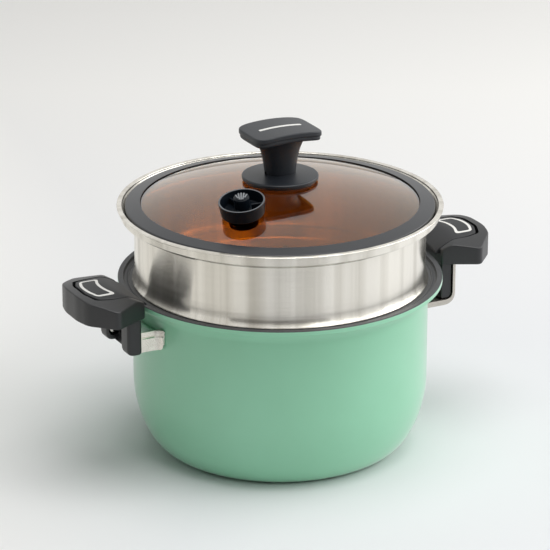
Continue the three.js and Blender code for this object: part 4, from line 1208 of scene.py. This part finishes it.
class COOKER_OT_fixings(bpy.types.Operator):
    """Finish of the rivets, screws, washer and gaskets, and the two stay screws with domed heads"""
    bl_idname = "cooker.fixings"
    bl_label = "Rivets, screws and gaskets"
    bl_options = {"REGISTER", "UNDO"}

    def execute(self, context):
        scene = context.scene
        make_finishes(scene)
        for name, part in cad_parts.items():
            for word, look in (("gasket", "Grey silicone"), ("screw", "Screw steel"),
                               ("rivet", "Brushed steel"), ("washer", "Brushed steel")):
                if word in name:
                    part.data.materials.clear()
                    part.data.materials.append(bpy.data.materials[look])
        b, h = scene.cooker_bracket, scene.cooker_handle
        long = b.stay_far - b.screw_seat
        dome = b.screw_head / math.sin(SCREW_DOME)
        line = [(0, 0), (b.screw, 0), (b.screw, long), (b.screw_head, long)]
        for i in range(9):
            a = SCREW_DOME * (1 - i / 8)
            line.append((dome * math.sin(a), long + 0.6 * MM + dome * (math.cos(a) - math.cos(SCREW_DOME))))
        for number in ("1", "2"):
            node = "left_screw_" + number
            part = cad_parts[node]
            side = math.copysign(1, sum((part.matrix_world @ Vector(c)).y for c in part.bound_box))
            at = Matrix.Translation((-h.start - h.leg_set - b.screw_in, side * b.stay_far, b.screw_height))
            bm = spun(bmesh.new(), line, SMALL)
            bmesh.ops.transform(bm, verts=bm.verts, matrix=at @ Matrix.Rotation(side * math.pi / 2, 4, "X"))
            place("left_bolt_" + number, bm, "pot", [node], ["Screw steel"])
        return {"FINISHED"}


class COOKER_OT_stage(bpy.types.Operator):
    """Pale floor, soft lamps, studio surroundings and the camera"""
    bl_idname = "cooker.stage"
    bl_label = "Stage"
    bl_options = {"REGISTER", "UNDO"}

    def execute(self, context):
        scene = context.scene
        make_finishes(scene)
        self.floor(scene.cooker_colours)
        self.lamps(scene)
        self.card(scene.cooker_colours)
        self.surroundings(scene)
        self.camera(scene)
        return {"FINISHED"}

    def floor(self, tones):
        """Wide floor that grows paler towards the back, to the tone of the far backdrop, and paler towards
        the left, which is painted light that lifts the shade the lamps leave there.
        """
        bm = bmesh.new()
        bmesh.ops.create_grid(bm, x_segments=8, y_segments=8, size=6.0)
        floor = mesh_object("floor", bm)
        material, tree, shader, at = start_finish("Pale floor")
        split = tree.nodes.new("ShaderNodeSeparateXYZ")
        tree.links.new(at, split.inputs[0])

        def times(side, factor):
            return math_node(tree, "MULTIPLY", split.outputs[side], factor)
        deep = math_node(tree, "ADD", times("Y", 0.83), times("X", 0.42))
        # paler towards the left: painted light against the shade of the lamps on that side
        aside = math_node(tree, "SUBTRACT", times("Y", 0.63), times("X", 1.25))
        far = math_node(tree, "MAXIMUM", math_node(tree, "MULTIPLY", deep, 0.5), aside)
        tree.links.new(blend(tree, far, tones.floor, tones.wall, (0.1, 0.45)), shader.inputs["Base Color"])
        set_inputs(shader, Roughness=0.7)
        floor.data.materials.append(material)

    def lamps(self, scene):
        """Three soft lamps: from the right, from the front and from above."""
        for name, spot, aim, wide, power in (
                ("key_lamp", (2.2, -0.35, 1.2), (0, 0, 0.1), 2.2, 27),
                ("front_lamp", (1.2, -2.1, 2.1), (0, 0, 0.1), 3.4, 34),
                ("top_lamp", (0.1, -0.3, 2.4), (0, 0, 0.15), 1.6, 30)):
            lamp = bpy.data.lights.new(name, "AREA")
            lamp.shape, lamp.size, lamp.size_y, lamp.energy = "RECTANGLE", wide, min(wide, 1.6), power
            holder = bpy.data.objects.new(name, lamp)
            holder.location = spot
            holder.rotation_euler = (Vector(aim) - Vector(spot)).to_track_quat("-Z", "Y").to_euler()
            scene.collection.objects.link(holder)

    def card(self, tones):
        """Dark card behind the camera, for the steel and the glass to mirror."""
        bm = bmesh.new()
        at = (Matrix.Translation((-1.9, -3.7, 0.95)) @ Matrix.Rotation(math.radians(-27), 4, "Z")
              @ Matrix.Rotation(math.pi / 2, 4, "X") @ Matrix.Diagonal((3.2, 0.95, 1, 1)))
        bmesh.ops.create_grid(bm, x_segments=4, y_segments=4, size=1.0, matrix=at)
        card = mesh_object("card", bm)
        material, tree, shader, at = start_finish("Dark card")
        grains = use_group(tree, "Surface grain", at, 40.0, 2.0)
        deep = [c * 0.8 for c in tones.card]
        tree.links.new(blend(tree, grains.outputs["Patch"], deep, tones.card), shader.inputs["Base Color"])
        set_inputs(shader, Roughness=0.9)
        card.data.materials.append(material)

    def surroundings(self, scene):
        """Pale studio that looks brighter, to the eye and in reflections, than it lights."""
        world = bpy.data.worlds.new("Studio")
        scene.world = world
        world.use_nodes = True
        tree = world.node_tree
        back = tree.nodes["Background"]
        set_inputs(back, Color=(0.94, 0.94, 0.93, 1))
        path = tree.nodes.new("ShaderNodeLightPath")
        mirrored_or_through = math_node(
            tree, "MAXIMUM", path.outputs["Is Glossy Ray"], path.outputs["Is Transmission Ray"])
        seen = math_node(tree, "MAXIMUM", path.outputs["Is Camera Ray"], mirrored_or_through)
        tree.links.new(ranged(tree, seen, 0.27, 0.93, (0.0, 1.0)), back.inputs["Strength"])

    def camera(self, scene):
        """Camera as fitted to the rims in the photograph."""
        camera = bpy.data.cameras.new("camera")
        camera.sensor_width = 36
        camera.lens = 200.98
        camera.clip_end = 50
        eye = bpy.data.objects.new("camera", camera)
        eye.location = (-1.0533, -2.0585, 1.0055)
        eye.rotation_euler = Vector((0.4252, 0.8346, -0.3502)).to_track_quat("-Z", "Y").to_euler()
        scene.collection.objects.link(eye)
        scene.camera = eye
        scene.view_settings.view_transform = "Standard"


STEPS = (COOKER_OT_pot, COOKER_OT_steamer, COOKER_OT_lid, COOKER_OT_knob, COOKER_OT_valve, COOKER_OT_handles,
         COOKER_OT_brackets, COOKER_OT_fixings, COOKER_OT_stage)


class COOKER_PT_panel(bpy.types.Panel):
    """Sidebar list of the pieces and their sizes"""
    bl_label = "Steam cooker"
    bl_idname = "COOKER_PT_panel"
    bl_space_type = "VIEW_3D"
    bl_region_type = "UI"
    bl_category = "Cooker"

    def draw(self, context):
        for step in STEPS:
            self.layout.operator(step.bl_idname)
        for name, kind in GROUPS.items():
            box = self.layout.box()
            box.label(text=kind.__doc__)
            for key in kind.__annotations__:
                box.prop(getattr(context.scene, name), key)


def register():
    """Adds the sizes, the operators and the panel to Blender."""
    for kind in (*GROUPS.values(), *STEPS, COOKER_PT_panel):
        bpy.utils.register_class(kind)
    for name, kind in GROUPS.items():
        setattr(bpy.types.Scene, name, bpy.props.PointerProperty(type=kind))


def unregister():
    """Takes them out again."""
    for name in GROUPS:
        delattr(bpy.types.Scene, name)
    for kind in reversed((*GROUPS.values(), *STEPS, COOKER_PT_panel)):
        bpy.utils.unregister_class(kind)


def main():
    """Builds the cooker and the stage."""
    register()
    for step in STEPS:
        group_name, call = step.bl_idname.split(".")
        getattr(getattr(bpy.ops, group_name), call)()


if __name__ == "__main__":
    main()
